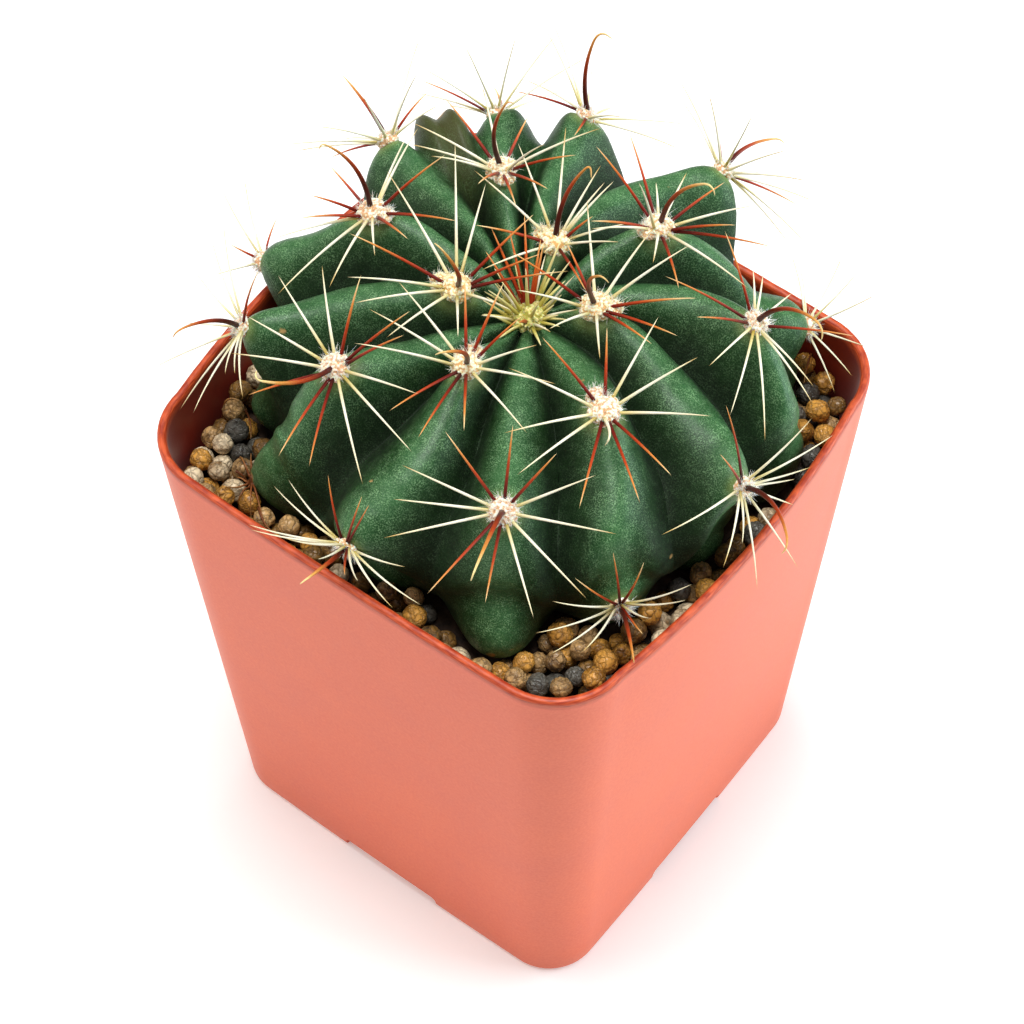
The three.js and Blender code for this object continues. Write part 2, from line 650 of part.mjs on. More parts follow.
// The bed: a plate of packed pellets with the loose ones standing out of its top.
function makeBed() {
  const random = randomSource(PELLET_SEED);
  const pieces = [potFill(SOIL_TOP + GAP, BED_TOP)];
  const placed = [];
  const rowStep = PELLET_SPACING * Math.sqrt(0.75);
  const rows = Math.ceil(RIM_HALF / rowStep);
  for (let row = -rows; row <= rows; row++) {
    for (let column = -rows - 2; column <= rows + 2; column++) {
      const radius = PELLET_RADIUS * (PELLET_SIZE_FROM + PELLET_SIZE_PLAY * random());
      const spot = new THREE.Vector3(
        (column + (row & 1) / 2) * PELLET_SPACING + (random() - 0.5) * PELLET_JITTER,
        row * rowStep + (random() - 0.5) * PELLET_JITTER,
        BED_TOP + radius * (PELLET_RISE_FROM + PELLET_RISE_PLAY * random()),
      );
      const turn = random() * Math.PI;
      const place = settle(spot, radius);
      if (!place || place.distanceTo(spot) > PELLET_SHIFT) continue;
      if (placed.some((other) => other.distanceTo(place) < PELLET_APART * PELLET_RADIUS)) continue;
      placed.push(place);
      const pellet = new THREE.IcosahedronGeometry(radius, 0);
      pellet.rotateX(turn).rotateZ(2 * turn).translate(place.x, place.y, place.z);
      pieces.push(solid(pellet));
    }
  }
  const bed = wasm.Manifold.union(pieces)
    .subtract(grownStem)
    .subtract(rootHole())
    .intersect(potFill(SOIL_TOP, POT_HEIGHT - 1));
  return mainBody(bed);
}

// The reference view's axes.
const viewBack = new THREE.Vector3(
  Math.sin(radians(VIEW_AZIMUTH)) * Math.cos(radians(VIEW_ELEVATION)),
  -Math.cos(radians(VIEW_AZIMUTH)) * Math.cos(radians(VIEW_ELEVATION)),
  Math.sin(radians(VIEW_ELEVATION)),
);
const viewRight = new THREE.Vector3(Math.cos(radians(VIEW_AZIMUTH)), Math.sin(radians(VIEW_AZIMUTH)), 0);
const viewUp = new THREE.Vector3().crossVectors(viewBack, viewRight);
viewRight.applyAxisAngle(viewBack, radians(VIEW_ROLL));
viewUp.applyAxisAngle(viewBack, radians(VIEW_ROLL));

// The line of sight through a pixel of the reference view.
function sight([x, y]) {
  return viewBack.clone().negate()
    .addScaledVector(viewRight, (x - FRAME_MIDDLE) / VIEW_FOCAL)
    .addScaledVector(viewUp, (FRAME_MIDDLE - y) / VIEW_FOCAL)
    .normalize();
}

// The point of a line of sight that is nearest to a given point, moved towards the eye.
function onSight(pixel, near, closer) {
  const line = sight(pixel);
  const reach = near.clone().sub(VIEW_POINT).dot(line) - closer;
  return VIEW_POINT.clone().addScaledVector(line, reach);
}

const spinePaths = [];

function segmentGap(a, b, c, d) {
  const u = b.clone().sub(a);
  const v = d.clone().sub(c);
  const w = a.clone().sub(c);
  const uu = u.dot(u);
  const uv = u.dot(v);
  const vv = v.dot(v);
  const uw = u.dot(w);
  const vw = v.dot(w);
  const det = uu * vv - uv * uv;
  let s = det > 1e-9 ? (uv * vw - vv * uw) / det : 0;
  s = Math.min(Math.max(s, 0), 1);
  const t = Math.min(Math.max((uv * s + vw) / vv, 0), 1);
  s = Math.min(Math.max((uv * t - uw) / uu, 0), 1);
  return w.addScaledVector(u, s).addScaledVector(v, -t).length();
}

// Whether a path keeps clear of the skin, the pellets, the pot and the other clusters.
function isClear(path, cluster, roots) {
  for (let i = 1; i < path.length; i++) {
    const middle = path[i].clone().add(path[i - 1]).multiplyScalar(0.5);
    for (const point of i > 1 ? [middle, path[i]] : [path[i]]) {
      if (heightOverSkin(point) < STEM_CLEARANCE) return false;
      const spread = Math.max(Math.abs(point.x), Math.abs(point.y));
      const inside = spread < potHalf(point.z) - WALL - RIM_CLEARANCE;
      const above = point.z > BED_TOP + BED_CLEARANCE;
      if (point.z < POT_HEIGHT + RIM_CLEARANCE && !(inside && above)) return false;
    }
  }
  for (const other of spinePaths) {
    if (other.cluster === cluster) continue;
    for (let i = 1; i < path.length; i++) {
      for (let j = 1; j < other.path.length; j++) {
        const gap = segmentGap(path[i - 1], path[i], other.path[j - 1], other.path[j]);
        if (gap < SPINE_CLEARANCE) return false;
      }
    }
  }
  return roots.every((root) => {
    if (root.cluster === cluster) return true;
    for (let i = 1; i < path.length; i++) {
      if (segmentGap(path[i - 1], path[i], root.at, root.top) < root.pad + PAD_CLEARANCE) return false;
    }
    return true;
  });
}

// Where a spine that points at a tip comes out of its areole: off the middle, on the tip's side.
function footOf({ at, out, pad }, tip) {
  const run = tip.clone().sub(at);
  const beside = run.addScaledVector(out, -run.dot(out)).normalize();
  return at.clone().addScaledVector(beside, FOOT_SHARE * pad);
}

// A spine's path from its root to its tip, arched a little away from the skin.
function spinePath(root, out, tip) {
  const length = root.distanceTo(tip);
  const bend = root.clone().add(tip).multiplyScalar(0.5).addScaledVector(out, SPINE_ARCH * length);
  const middle = root.clone().multiplyScalar(0.25).addScaledVector(bend, 0.5).addScaledVector(tip, 0.25);
  return [root, middle, tip];
}

// A hook continues a shaft: it curls from the shaft's end round to its own tip.
function hookPath(shaft, hookTip) {
  const [root, middle, end] = shaft;
  const run = end.clone().sub(middle).normalize();
  const turn = end.clone().addScaledVector(run, HOOK_ROUNDNESS * end.distanceTo(hookTip));
  const curl = [1 / 3, 2 / 3, 1].map((t) => end.clone().multiplyScalar((1 - t) ** 2)
    .addScaledVector(turn, 2 * t * (1 - t))
    .addScaledVector(hookTip, t * t));
  return [root, middle, end, ...curl];
}

// Places a spine whose tip was read in the view: of all depths along the line of sight, the
// first that is clear, taken in order of how natural the spine's rise and length are.
function seenSpine(cluster, pixel, hookPixel, rise, length, roots) {
  const { at, out } = roots[cluster];
  const choices = [];
  for (let closer = DEPTH_BEHIND; closer <= DEPTH_BEFORE; closer += DEPTH_STEP) {
    const tip = onSight(pixel, at, closer);
    const run = tip.clone().sub(at);
    const reach = run.length();
    const lean = THREE.MathUtils.radToDeg(Math.asin(run.dot(out) / reach));
    const cost = ((lean - rise) / RISE_TOLERANCE) ** 2 + ((reach - length) / LENGTH_TOLERANCE) ** 2;
    if (lean > LEAST_RISE && reach < GREATEST_LENGTH) choices.push({ tip, cost });
  }
  choices.sort((a, b) => a.cost - b.cost);
  for (const { tip } of choices) {
    let path = spinePath(hookPixel ? at : footOf(roots[cluster], tip), out, tip);
    if (hookPixel) path = hookPath(path, onSight(hookPixel, tip, 0));
    if (isClear(path, cluster, roots)) return path;
  }
  return null;
}

// Directions in the skin's plane at an areole: down the rib, and across it.
function starFrame(out) {
  const down = new THREE.Vector3(0, 0, -1).addScaledVector(out, out.z);
  if (down.length() < 0.05) down.set(1, 0, 0);
  down.normalize();
  return { down, across: new THREE.Vector3().crossVectors(out, down) };
}

function clockOf(path, out) {
  const { down, across } = starFrame(out);
  const run = path[path.length - 1].clone().sub(path[0]);
  return Math.atan2(run.dot(across), run.dot(down));
}

// Completes a star: where two spines of a cluster leave a wide gap, one more stands between.
function fillStar(cluster, clocks, roots, random) {
  const { at, out, pad } = roots[cluster];
  const { down, across } = starFrame(out);
  const paths = [];
  for (let i = 0; i < STAR_SIZE; i++) {
    const clock = (i * 2 * Math.PI) / STAR_SIZE;
    const [lengthDraw, clockDraw] = [random(), random()];
    const turns = clocks.map((other) => clock - other);
    const apart = turns.map((turn) => Math.abs(Math.atan2(Math.sin(turn), Math.cos(turn))));
    if (Math.min(...apart, Math.PI) < STAR_GAP * ((2 * Math.PI) / STAR_SIZE)) continue;
    const length = (pad < SMALL_PAD ? SMALL_FILL_LENGTH : FILL_LENGTH) + FILL_LENGTH_PLAY * lengthDraw;
    const angle = clock + FILL_CLOCK_PLAY * (clockDraw - 0.5);
    for (const rise of FILL_RISES) {
      const run = down.clone().multiplyScalar(Math.cos(angle)).addScaledVector(across, Math.sin(angle));
      run.multiplyScalar(Math.cos(radians(rise))).addScaledVector(out, Math.sin(radians(rise)));
      const tip = at.clone().addScaledVector(run, length);
      const path = spinePath(footOf(roots[cluster], tip), out, tip);
      if (isClear(path, cluster, roots)) {
        paths.push(path);
        spinePaths.push({ cluster, path });
        break;
      }
    }
  }
  return paths;
}

// A three-sided needle along a path, pointed at its end and rooted below its start.
function needle(path, halfWidth, out) {
  const start = path[0].clone().addScaledVector(out, -SPINE_ROOTING);
  const run = path[path.length - 1].clone().sub(start).normalize();
  const side = new THREE.Vector3().crossVectors(run, out).normalize();
  if (side.lengthSq() < 0.5) side.set(1, 0, 0);
  const nodes = [start, ...path.slice(1, -1)];
  const rings = nodes.map((node, i) => {
    const next = i + 1 < nodes.length ? nodes[i + 1] : path[path.length - 1];
    const before = i > 0 ? nodes[i - 1] : start;
    const axis = next.clone().sub(before).normalize();
    const across = side.clone().addScaledVector(axis, -side.dot(axis)).normalize();
    const up = new THREE.Vector3().crossVectors(axis, across);
    const width = halfWidth * (1 - (SPINE_TAPER * i) / nodes.length);
    return [0, 1, 2].map((corner) => {
      const angle = (corner * 2 * Math.PI) / 3 + Math.PI / 2;
      return node.clone()
        .addScaledVector(across, width * Math.cos(angle))
        .addScaledVector(up, width * Math.sin(angle));
    });
  });
  return solid(loft(rings, start, path[path.length - 1]));
}

// A wool pad: a low rough dome on the skin.
function woolPad({ at, out, pad }, random) {
  const dome = mergeVertices(bareIcosahedron());
  const position = dome.attributes.position;
  const { down, across } = starFrame(out);
  for (let i = 0; i < position.count; i++) {
    const size = pad * (WOOL_GROWTH + WOOL_ROUGHNESS * (random() - 0.5));
    const point = at.clone()
      .addScaledVector(down, position.getX(i) * size)
      .addScaledVector(across, position.getY(i) * size)
      .addScaledVector(out, position.getZ(i) * size * WOOL_HEIGHT - WOOL_DEPTH);
    position.setXYZ(i, point.x, point.y, point.z);
  }
  return solid(dome);
}

function bareIcosahedron() {
  const geometry = new THREE.IcosahedronGeometry(1, 0);
  geometry.deleteAttribute("normal");
  geometry.deleteAttribute("uv");
  return geometry;
}

// Every cluster of spines, in order round the plant.
function makeClusters() {
  const roots = [];
  RIBS.forEach(({ areoles }, rib) => {
    for (const areole of areoles) {
      const out = skinNormal(rib, 0, areole.place);
      const at = skin(rib, 0, areole.place).addScaledVector(out, ROOT_LIFT);
      const top = at.clone().addScaledVector(out, ROOT_HEIGHT);
      roots.push({ at, out, top, pad: areole.pad, areole, cluster: roots.length });
    }
  });
  const crownOut = new THREE.Vector3(0, 0, 1);
  const crownAt = new THREE.Vector3(PLANT_X, PLANT_Y, CREST[0][1] + CROWN_LIFT);
  roots.push({ at: crownAt, out: crownOut, top: crownAt, pad: CROWN_PAD, cluster: roots.length });
  const random = randomSource(PELLET_SEED + 1);
  const bundles = roots.map(() => []);
  const keep = (cluster, path, halfWidth) => {
    if (!path) return;
    spinePaths.push({ cluster, path });
    bundles[cluster].push({ path, halfWidth });
  };
  roots.forEach(({ areole, cluster }) => {
    if (areole?.hook) {
      const [shaft, tip] = areole.hook;
      keep(cluster, seenSpine(cluster, shaft, tip, HOOK_RISE, HOOK_LENGTH, roots), HOOK_HALF_WIDTH);
    }
  });
  for (const { areole, cluster } of roots) {
    if (!areole) continue;
    for (const pixel of areole.red) {
      keep(cluster, seenSpine(cluster, pixel, null, RED_RISE, RED_LENGTH, roots), SPINE_HALF_WIDTH);
    }
    for (const pixel of areole.pale) {
      keep(cluster, seenSpine(cluster, pixel, null, RADIAL_RISE, RADIAL_LENGTH, roots), SPINE_HALF_WIDTH);
    }
  }
  // Young spines stand nearly upright in the crown.
  const crown = roots.length - 1;
  for (let i = 0; i < CROWN_SPINES; i++) {
    const lean = radians(CROWN_LEAN_FROM + (CROWN_LEAN_PLAY * i) / CROWN_SPINES);
    const length = CROWN_LENGTH * (CROWN_LENGTH_FROM + CROWN_LENGTH_PLAY * random());
    for (let nudge = 0; nudge < CROWN_NUDGES; nudge++) {
      const azimuth = radians(i * GOLDEN_ANGLE + nudge * CROWN_NUDGE);
      const aside = new THREE.Vector3(Math.cos(azimuth), Math.sin(azimuth), 0);
      const foot = crownAt.clone().addScaledVector(aside, CROWN_FOOT * Math.sin(lean));
      const tip = foot.clone().add(new THREE.Vector3(
        Math.sin(lean) * Math.cos(azimuth),
        Math.sin(lean) * Math.sin(azimuth),
        Math.cos(lean),
      ).multiplyScalar(length));
      const path = spinePath(foot, crownOut, tip);
      if (isClear(path, crown, roots)) {
        keep(crown, path, SPINE_HALF_WIDTH);
        break;
      }
    }
  }
  for (const { areole, cluster, out } of roots) {
    if (!areole) continue;
    const clocks = bundles[cluster].map(({ path }) => clockOf(path, out));
    for (const path of fillStar(cluster, clocks, roots, random)) {
      bundles[cluster].push({ path, halfWidth: SPINE_HALF_WIDTH });
    }
  }
  return roots.map((root) => {
    const needles = bundles[root.cluster].map(({ path, halfWidth }) => needle(path, halfWidth, root.out));
    const whole = wasm.Manifold.union([woolPad(root, random), ...needles]).subtract(grownStem);
    return mainBody(whole);
  });
}

const potted = new THREE.Group();
const filling = new THREE.Group();
const plant = new THREE.Group();

potted.add(meshOf("pot", makePot(), FINISHES.pot));
filling.add(meshOf("soil", makeSoil(), FINISHES.soil));
filling.add(meshOf("pellet_bed", makeBed(), FINISHES.pellets));
plant.add(meshOf("stem", stem, FINISHES.stem));
const clusters = makeClusters();
const crownTuft = clusters.pop();
clusters.forEach((cluster, i) => {
  const number = String(i + 1).padStart(2, "0");
  plant.add(meshOf(`spine_cluster_${number}`, cluster, FINISHES.spines));
});
plant.add(meshOf("crown_tuft", crownTuft, FINISHES.crown));
potted.add(filling, plant);

export default potted;
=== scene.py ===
"""A potted round cactus: a ribbed green globe with starry clusters of spines, bedded on clay
pellets in a square plastic nursery pot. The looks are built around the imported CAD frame.
Sizes are in millimetres and turned to metres as each mesh is made."""
import math

import bmesh
import bpy
import numpy as np
from mathutils import Matrix, Vector, noise
from mathutils.bvhtree import BVHTree


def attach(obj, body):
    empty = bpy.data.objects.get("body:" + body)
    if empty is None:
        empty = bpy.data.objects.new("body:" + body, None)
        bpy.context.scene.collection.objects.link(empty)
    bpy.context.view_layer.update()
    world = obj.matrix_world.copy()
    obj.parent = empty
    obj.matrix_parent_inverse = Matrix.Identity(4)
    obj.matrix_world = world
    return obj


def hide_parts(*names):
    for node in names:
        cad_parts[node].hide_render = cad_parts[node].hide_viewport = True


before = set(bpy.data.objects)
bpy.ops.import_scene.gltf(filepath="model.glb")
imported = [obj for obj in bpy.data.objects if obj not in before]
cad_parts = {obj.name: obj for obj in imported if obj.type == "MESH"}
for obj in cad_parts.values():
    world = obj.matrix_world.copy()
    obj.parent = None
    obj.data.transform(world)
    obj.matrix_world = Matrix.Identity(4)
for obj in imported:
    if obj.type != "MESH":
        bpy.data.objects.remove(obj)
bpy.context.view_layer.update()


# The pot is a thin-walled nursery pot, injection moulded in one shot from polypropylene.
# It has a half-round lip, rounded corners, and under each side a drain channel with a hole.
MM = 0.001
POT_HEIGHT = 75.0
RIM_HALF = 32.0
BASE_HALF = 27.5
RIM_CORNER = 9.2
BASE_CORNER = 6.6
RIM_BOWS = (2.0, 0.3)
BASE_BOW = 0.2
WALL = 1.1
FLOOR = 1.2
FLOOR_EDGE = 0.9
LIP_UNEVEN = 0.08
LIP_WAVES_PER_MM = 0.8
LIP_SHARE = 0.7
ARC_STEPS = 14
SIDE_STEPS = 26
FOOT_STEPS = 5
LIP_STEPS = 10
OUTSIDE_START = 4.0
OUTSIDE_ROWS = 16
INSIDE_END = 5.0
INSIDE_ROWS = 12
SHARP_DEGREES = 38
FACING_IN = -0.1
CHANNEL_WIDTH = 15.0
CHANNEL_HEIGHT = 2.0
CHANNEL_INNER = 10.0
CHANNEL_ROUND = 0.9
CHANNEL_EDGE_POINTS = 7
CHANNEL_COVER_LOW = 0.4
DRAIN_RADIUS = 1.8
DRAIN_FROM_CENTRE = 14.0
DRAIN_SIDES = 32
CUT_BELOW = -1.0
CUT_BEYOND = 2.0
QUARTER_TURNS = ((1, 0), (0, 1), (-1, 0), (0, -1))


def pot_half(height):
    """How far the pot's sides stand from its middle at a height."""
    return BASE_HALF + (RIM_HALF - BASE_HALF) * height / POT_HEIGHT


def pot_outline(height, margin):
    """The pot's outline at a height, pulled in by a margin."""
    share = height / POT_HEIGHT
    half = pot_half(height) - margin
    corner = max(BASE_CORNER + (RIM_CORNER - BASE_CORNER) * share - margin, 1)
    straight = half - corner
    points = []
    for side in range(4):
        bow = BASE_BOW + (RIM_BOWS[side % 2] - BASE_BOW) * share
        turn = side * math.pi / 2
        places = []
        for i in range(1, SIDE_STEPS):
            across = 2 * i / SIDE_STEPS - 1
            places.append((half + bow * (1 - across * across), straight * across))
        for i in range(ARC_STEPS + 1):
            angle = i * math.pi / (2 * ARC_STEPS)
            out, across = corner * math.cos(angle), corner * math.sin(angle)
            places.append((straight + out, straight + across))
        for out, across in places:
            x = out * math.cos(turn) - across * math.sin(turn)
            y = out * math.sin(turn) + across * math.cos(turn)
            points.append((x, y, height))
    return points


def loft_faces(rows, columns):
    """Quads between rows of points that each close on themselves."""
    row, column = np.meshgrid(np.arange(rows - 1), np.arange(columns), indexing="ij")
    a = row * columns + column
    b = row * columns + (column + 1) % columns
    return np.stack([a, b, b + columns, a + columns], axis=-1).reshape(-1, 4).tolist()


def closed_loft(rings, first, last):
    """Points and faces of a closed body from rings that run up its outside."""
    count = len(rings[0])
    points = [point for ring in rings for point in ring] + [first, last]
    faces = loft_faces(len(rings), count)
    foot = count * len(rings)
    top = count * (len(rings) - 1)
    for j in range(count):
        following = (j + 1) % count
        faces.append((foot, following, j))
        faces.append((foot + 1, top + j, top + following))
    return points, faces


def make_object(name, points, faces, *materials):
    """A smooth mesh object from points in millimetres."""
    mesh = bpy.data.meshes.new(name)
    mesh.from_pydata((np.asarray(points, float) * MM).tolist(), [], faces)
    mesh.polygons.foreach_set("use_smooth", [True] * len(mesh.polygons))
    for material in materials:
        mesh.materials.append(material)
    made = bpy.data.objects.new(name, mesh)
    bpy.context.scene.collection.objects.link(made)
    return made


def set_values(made, name, values):
    """Keeps a number for each point of a mesh, for its material to read."""
    attribute = made.data.attributes.new(name, "FLOAT", "POINT")
    attribute.data.foreach_set("value", np.asarray(values, np.float32))


def linear(colour):
    """An sRGB hex colour as linear red, green, blue and alpha."""
    channels = [int(colour[i:i + 2], 16) / 255 for i in (0, 2, 4)]
    return [c / 12.92 if c <= 0.04045 else ((c + 0.055) / 1.055) ** 2.4 for c in channels] + [1.0]


def add_node(material, kind, inputs=None, stops=None, **settings):
    """Adds a shader node. Inputs are numbers, colours or sockets; stops fill a colour ramp."""
    made = material.node_tree.nodes.new("ShaderNode" + kind)
    for key, value in settings.items():
        setattr(made, key, value)
    for key, value in (inputs or {}).items():
        if isinstance(value, bpy.types.NodeSocket):
            material.node_tree.links.new(value, made.inputs[key])
        else:
            made.inputs[key].default_value = value
    for i, (position, colour) in enumerate(stops or []):
        elements = made.color_ramp.elements
        element = elements[i] if i < len(elements) else elements.new(position)
        element.position = position
        element.color = linear(colour)
    return made


def new_material(name, constants):
    """A material and its shader, with what is the same all over set on the shader."""
    material = bpy.data.materials.new(name)
    material.use_nodes = True
    principled = material.node_tree.nodes["Principled BSDF"]
    for key, value in constants.items():
        principled.inputs[key].default_value = value
    return material, principled


def connect(material, output, principled, name):
    """Lets a node's output set one of the shader's inputs."""
    material.node_tree.links.new(output, principled.inputs[name])


def foot_round(steps, upward):
    """Heights and margins of the quarter-round between the floor and the wall."""
    turns = [i * math.pi / (2 * steps) for i in range(steps + 1)]
    pairs = [(FLOOR_EDGE * (1 - math.cos(t)), FLOOR_EDGE * (1 - math.sin(t))) for t in turns]
    return pairs if upward else pairs[::-1]


def pot_profile():
    """Heights and margins from the underside, up the outside, over the lip and down inside."""
    lip = WALL / 2
    below_lip = POT_HEIGHT - lip - 1
    profile = foot_round(FOOT_STEPS, True)
    profile += [(height, 0) for height in np.linspace(OUTSIDE_START, below_lip, OUTSIDE_ROWS)]
    for i in range(LIP_STEPS + 1):
        angle = i * math.pi / LIP_STEPS
        profile.append((POT_HEIGHT - lip + lip * math.sin(angle), lip * (1 - math.cos(angle))))
    profile += [(height, WALL) for height in np.linspace(below_lip, INSIDE_END, INSIDE_ROWS)]
    profile += [(FLOOR + height, WALL + margin) for height, margin in foot_round(FOOT_STEPS, False)]
    return profile


def add_prism(points, faces, first, last):
    """Adds a closed body between two flat rings of as many points."""
    start, count = len(points), len(first)
    points += first + last
    for j in range(count):
        beside, following = start + count, (j + 1) % count
        faces.append((start + j, beside + j, beside + following, start + following))
    faces.append([start + j for j in range(count)])
    faces.append([start + count + j for j in reversed(range(count))])


def channel_bars(margin, low):
    """The four drain channels as bars with rounded upper edges, grown by a margin."""
    points, faces = [], []
    reach = BASE_HALF + (-WALL / 2 if margin > 0 else CUT_BEYOND)
    inner = CHANNEL_INNER - margin
    half = CHANNEL_WIDTH / 2 + margin
    high = CHANNEL_HEIGHT + margin
    edge = CHANNEL_ROUND + margin * 0.5
    section = [(half, low)]
    section += [
        (half - edge + edge * math.cos(t), high - edge + edge * math.sin(t))
        for t in np.linspace(0, math.pi / 2, CHANNEL_EDGE_POINTS)
    ]
    section += [(-across, height) for across, height in section[::-1]]
    for c, s in QUARTER_TURNS:
        add_prism(points, faces, *(
            [(out * c - across * s, out * s + across * c, height) for across, height in section]
            for out in (inner, reach)
        ))
    return points, faces


def drain_pins():
    """Four round pins that stand where the drain holes are cut."""
    points, faces = [], []
    turns = [i * 2 * math.pi / DRAIN_SIDES for i in range(DRAIN_SIDES)]
    for c, s in QUARTER_TURNS:
        add_prism(points, faces, *(
            [(DRAIN_FROM_CENTRE * c + DRAIN_RADIUS * math.cos(turn),
              DRAIN_FROM_CENTRE * s + DRAIN_RADIUS * math.sin(turn), height) for turn in turns]
            for height in (CUT_BELOW, POT_HEIGHT / 4)
        ))
    return points, faces


def outward(made):
    """Turns all faces of a closed mesh to the outside."""
    shape = bmesh.new()
    shape.from_mesh(made.data)
    bmesh.ops.recalc_face_normals(shape, faces=shape.faces)
    shape.to_mesh(made.data)
    shape.free()


def cut(body, operation, tool):
    """Joins or cuts a body with a tool, and deletes the tool."""
    outward(tool)
    modifier = body.modifiers.new("cut", "BOOLEAN")
    modifier.operation = operation
    modifier.solver = "EXACT"
    modifier.object = tool
    bpy.context.view_layer.update()
    evaluated = body.evaluated_get(bpy.context.evaluated_depsgraph_get())
    result = bpy.data.meshes.new_from_object(evaluated)
    body.modifiers.clear()
    body.data = result
    bpy.data.objects.remove(tool)


# Moulded polypropylene: dyed a strong orange red, which shows on the lip and inside, while the
# outer faces have a fine satin texture from the mould that scatters light and looks salmon.
# That texture is really about 0.1 mm and is drawn as coarse as it needs to show. The lip has
# fine lines along it, where it was drawn out of the mould. Inside, the dye is painted a darker
# red brown, which is painted shade on the inner wall.
polypropylene, shader = new_material("moulded_polypropylene_satin", {
    "IOR": 1.49,
    "Sheen Weight": 0.1,
    "Sheen Roughness": 0.3,
})
GRAIN_MM = 0.35
CLOUD_MM = 9.0
LIP_LINE_MM = 1.6
LIP_LINES = 14
spot = add_node(polypropylene, "TexCoord").outputs["Object"]
grain, cloud = (
    add_node(
        polypropylene, "TexNoise",
        {"Vector": spot, "Scale": 1 / (size * MM), "Detail": detail},
    )
    for size, detail in ((GRAIN_MM, 3.0), (CLOUD_MM, 4.0))
)
lip_mask = add_node(polypropylene, "Attribute", attribute_name="lip").outputs["Fac"]
inside_shade_mask = add_node(polypropylene, "Attribute", attribute_name="inside").outputs["Fac"]
face_tint = add_node(
    polypropylene, "ValToRGB", {"Fac": cloud.outputs["Fac"]},
    stops=[(0.3, "da5629"), (0.7, "e26336")],
)
grain_tint = add_node(
    polypropylene, "ValToRGB", {"Fac": grain.outputs["Fac"]},
    stops=[(0.3, "cf4d25"), (0.75, "e57246")],
)
drawn = add_node(polypropylene, "Mapping", {"Vector": spot, "Scale": (1, 1, LIP_LINES)})
lines = add_node(
    polypropylene, "TexNoise",
    {"Vector": drawn.outputs["Vector"], "Scale": 1 / (LIP_LINE_MM * MM), "Detail": 3.0},
)
face = add_node(
    polypropylene, "Mix",
    {0: 0.35, 6: face_tint.outputs["Color"], 7: grain_tint.outputs["Color"]}, data_type="RGBA",
)
lip_tint = add_node(
    polypropylene, "ValToRGB", {"Fac": lines.outputs["Fac"]},
    stops=[(0.35, "9a2c0c"), (0.65, "cf5628")],
)
lipped = add_node(
    polypropylene, "Mix",
    {0: lip_mask, 6: face.outputs[2], 7: lip_tint.outputs["Color"]}, data_type="RGBA",
)
# Inside faces take a darker red brown: the dye with painted shade.
tint = add_node(
    polypropylene, "Mix",
    {0: inside_shade_mask, 6: lipped.outputs[2], 7: linear("8a2206")}, data_type="RGBA",
)
connect(polypropylene, tint.outputs[2], shader, "Base Color")
satin = add_node(
    polypropylene, "MapRange", {"Value": cloud.outputs["Fac"], "To Min": 0.42, "To Max": 0.52},
)
connect(polypropylene, satin.outputs["Result"], shader, "Roughness")
relief = add_node(
    polypropylene, "Bump",
    {"Height": grain.outputs["Fac"], "Strength": 0.3, "Distance": 0.03 * MM},
)
connect(polypropylene, relief.outputs["Normal"], shader, "Normal")

rings = [pot_outline(height, margin) for height, margin in pot_profile()]
pot_points, pot_faces = closed_loft(rings, (0, 0, 0), (0, 0, FLOOR))
for i, point in enumerate(pot_points):
    if point[2] > POT_HEIGHT - WALL:
        uneven = LIP_UNEVEN * noise.noise(Vector(point) * LIP_WAVES_PER_MM)
        pot_points[i] = (point[0], point[1], point[2] + uneven)
pot = make_object("moulded_pot", pot_points, pot_faces, polypropylene)
outward(pot)
cut(pot, "UNION", make_object("channel_covers", *channel_bars(FLOOR, CHANNEL_COVER_LOW)))
cut(pot, "DIFFERENCE", make_object("channels", *channel_bars(0, CUT_BELOW)))
cut(pot, "DIFFERENCE", make_object("drains", *drain_pins()))
pot.data.polygons.foreach_set("use_smooth", [True] * len(pot.data.polygons))
pot.data.set_sharp_from_angle(angle=math.radians(SHARP_DEGREES))
# Inside faces below the lip are marked for the painted shade of the inner wall.
on_lip, on_inside_shaded = [], []
for vertex in pot.data.vertices:
    outwards = vertex.normal.x * vertex.co.x + vertex.normal.y * vertex.co.y
    high = vertex.co.z > (POT_HEIGHT - LIP_SHARE * WALL) * MM
    on_lip.append(float(high))
    on_inside_shaded.append(float(outwards < FACING_IN * MM and not high))
set_values(pot, "lip", on_lip)
set_values(pot, "inside", on_inside_shaded)
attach(pot, "root")
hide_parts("pot")


# The potting mix under the pellets is peat with a little sand, pressed in by hand. It is the
# CAD's own solid. Crumbled peat is quite dull, near black where damp and brown where dry.
peat, shader = new_material("crumbled_peat_mix", {"Roughness": 0.95})
CRUMB_MM = 1.4
spot = add_node(peat, "TexCoord").outputs["Object"]
crumbs = add_node(peat, "TexVoronoi", {"Vector": spot, "Scale": 1 / (CRUMB_MM * MM)})
dust = add_node(peat, "TexNoise", {"Vector": spot, "Scale": 1 / (CRUMB_MM * MM), "Detail": 5.0})
tint = add_node(
    peat, "ValToRGB", {"Fac": dust.outputs["Fac"]},
    stops=[(0.35, "1f1510"), (0.75, "4a3626")],
)
connect(peat, tint.outputs["Color"], shader, "Base Color")
relief = add_node(
    peat, "Bump", {"Height": crumbs.outputs["Distance"], "Strength": 0.8, "Distance": 0.4 * MM},
)
connect(peat, relief.outputs["Normal"], shader, "Normal")
for material_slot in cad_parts["soil"].material_slots:
    material_slot.material = peat


# The stem is one flattened globe with thirteen ribs. Each rib swells into a lobe under every
# areole, and older lobes near the pot are pointed. It grew as one piece with its root neck.
PLANT_X = -1.3
PLANT_Y = 4.1
PLANT_TURN = 37.74
RIB_COUNT = 13
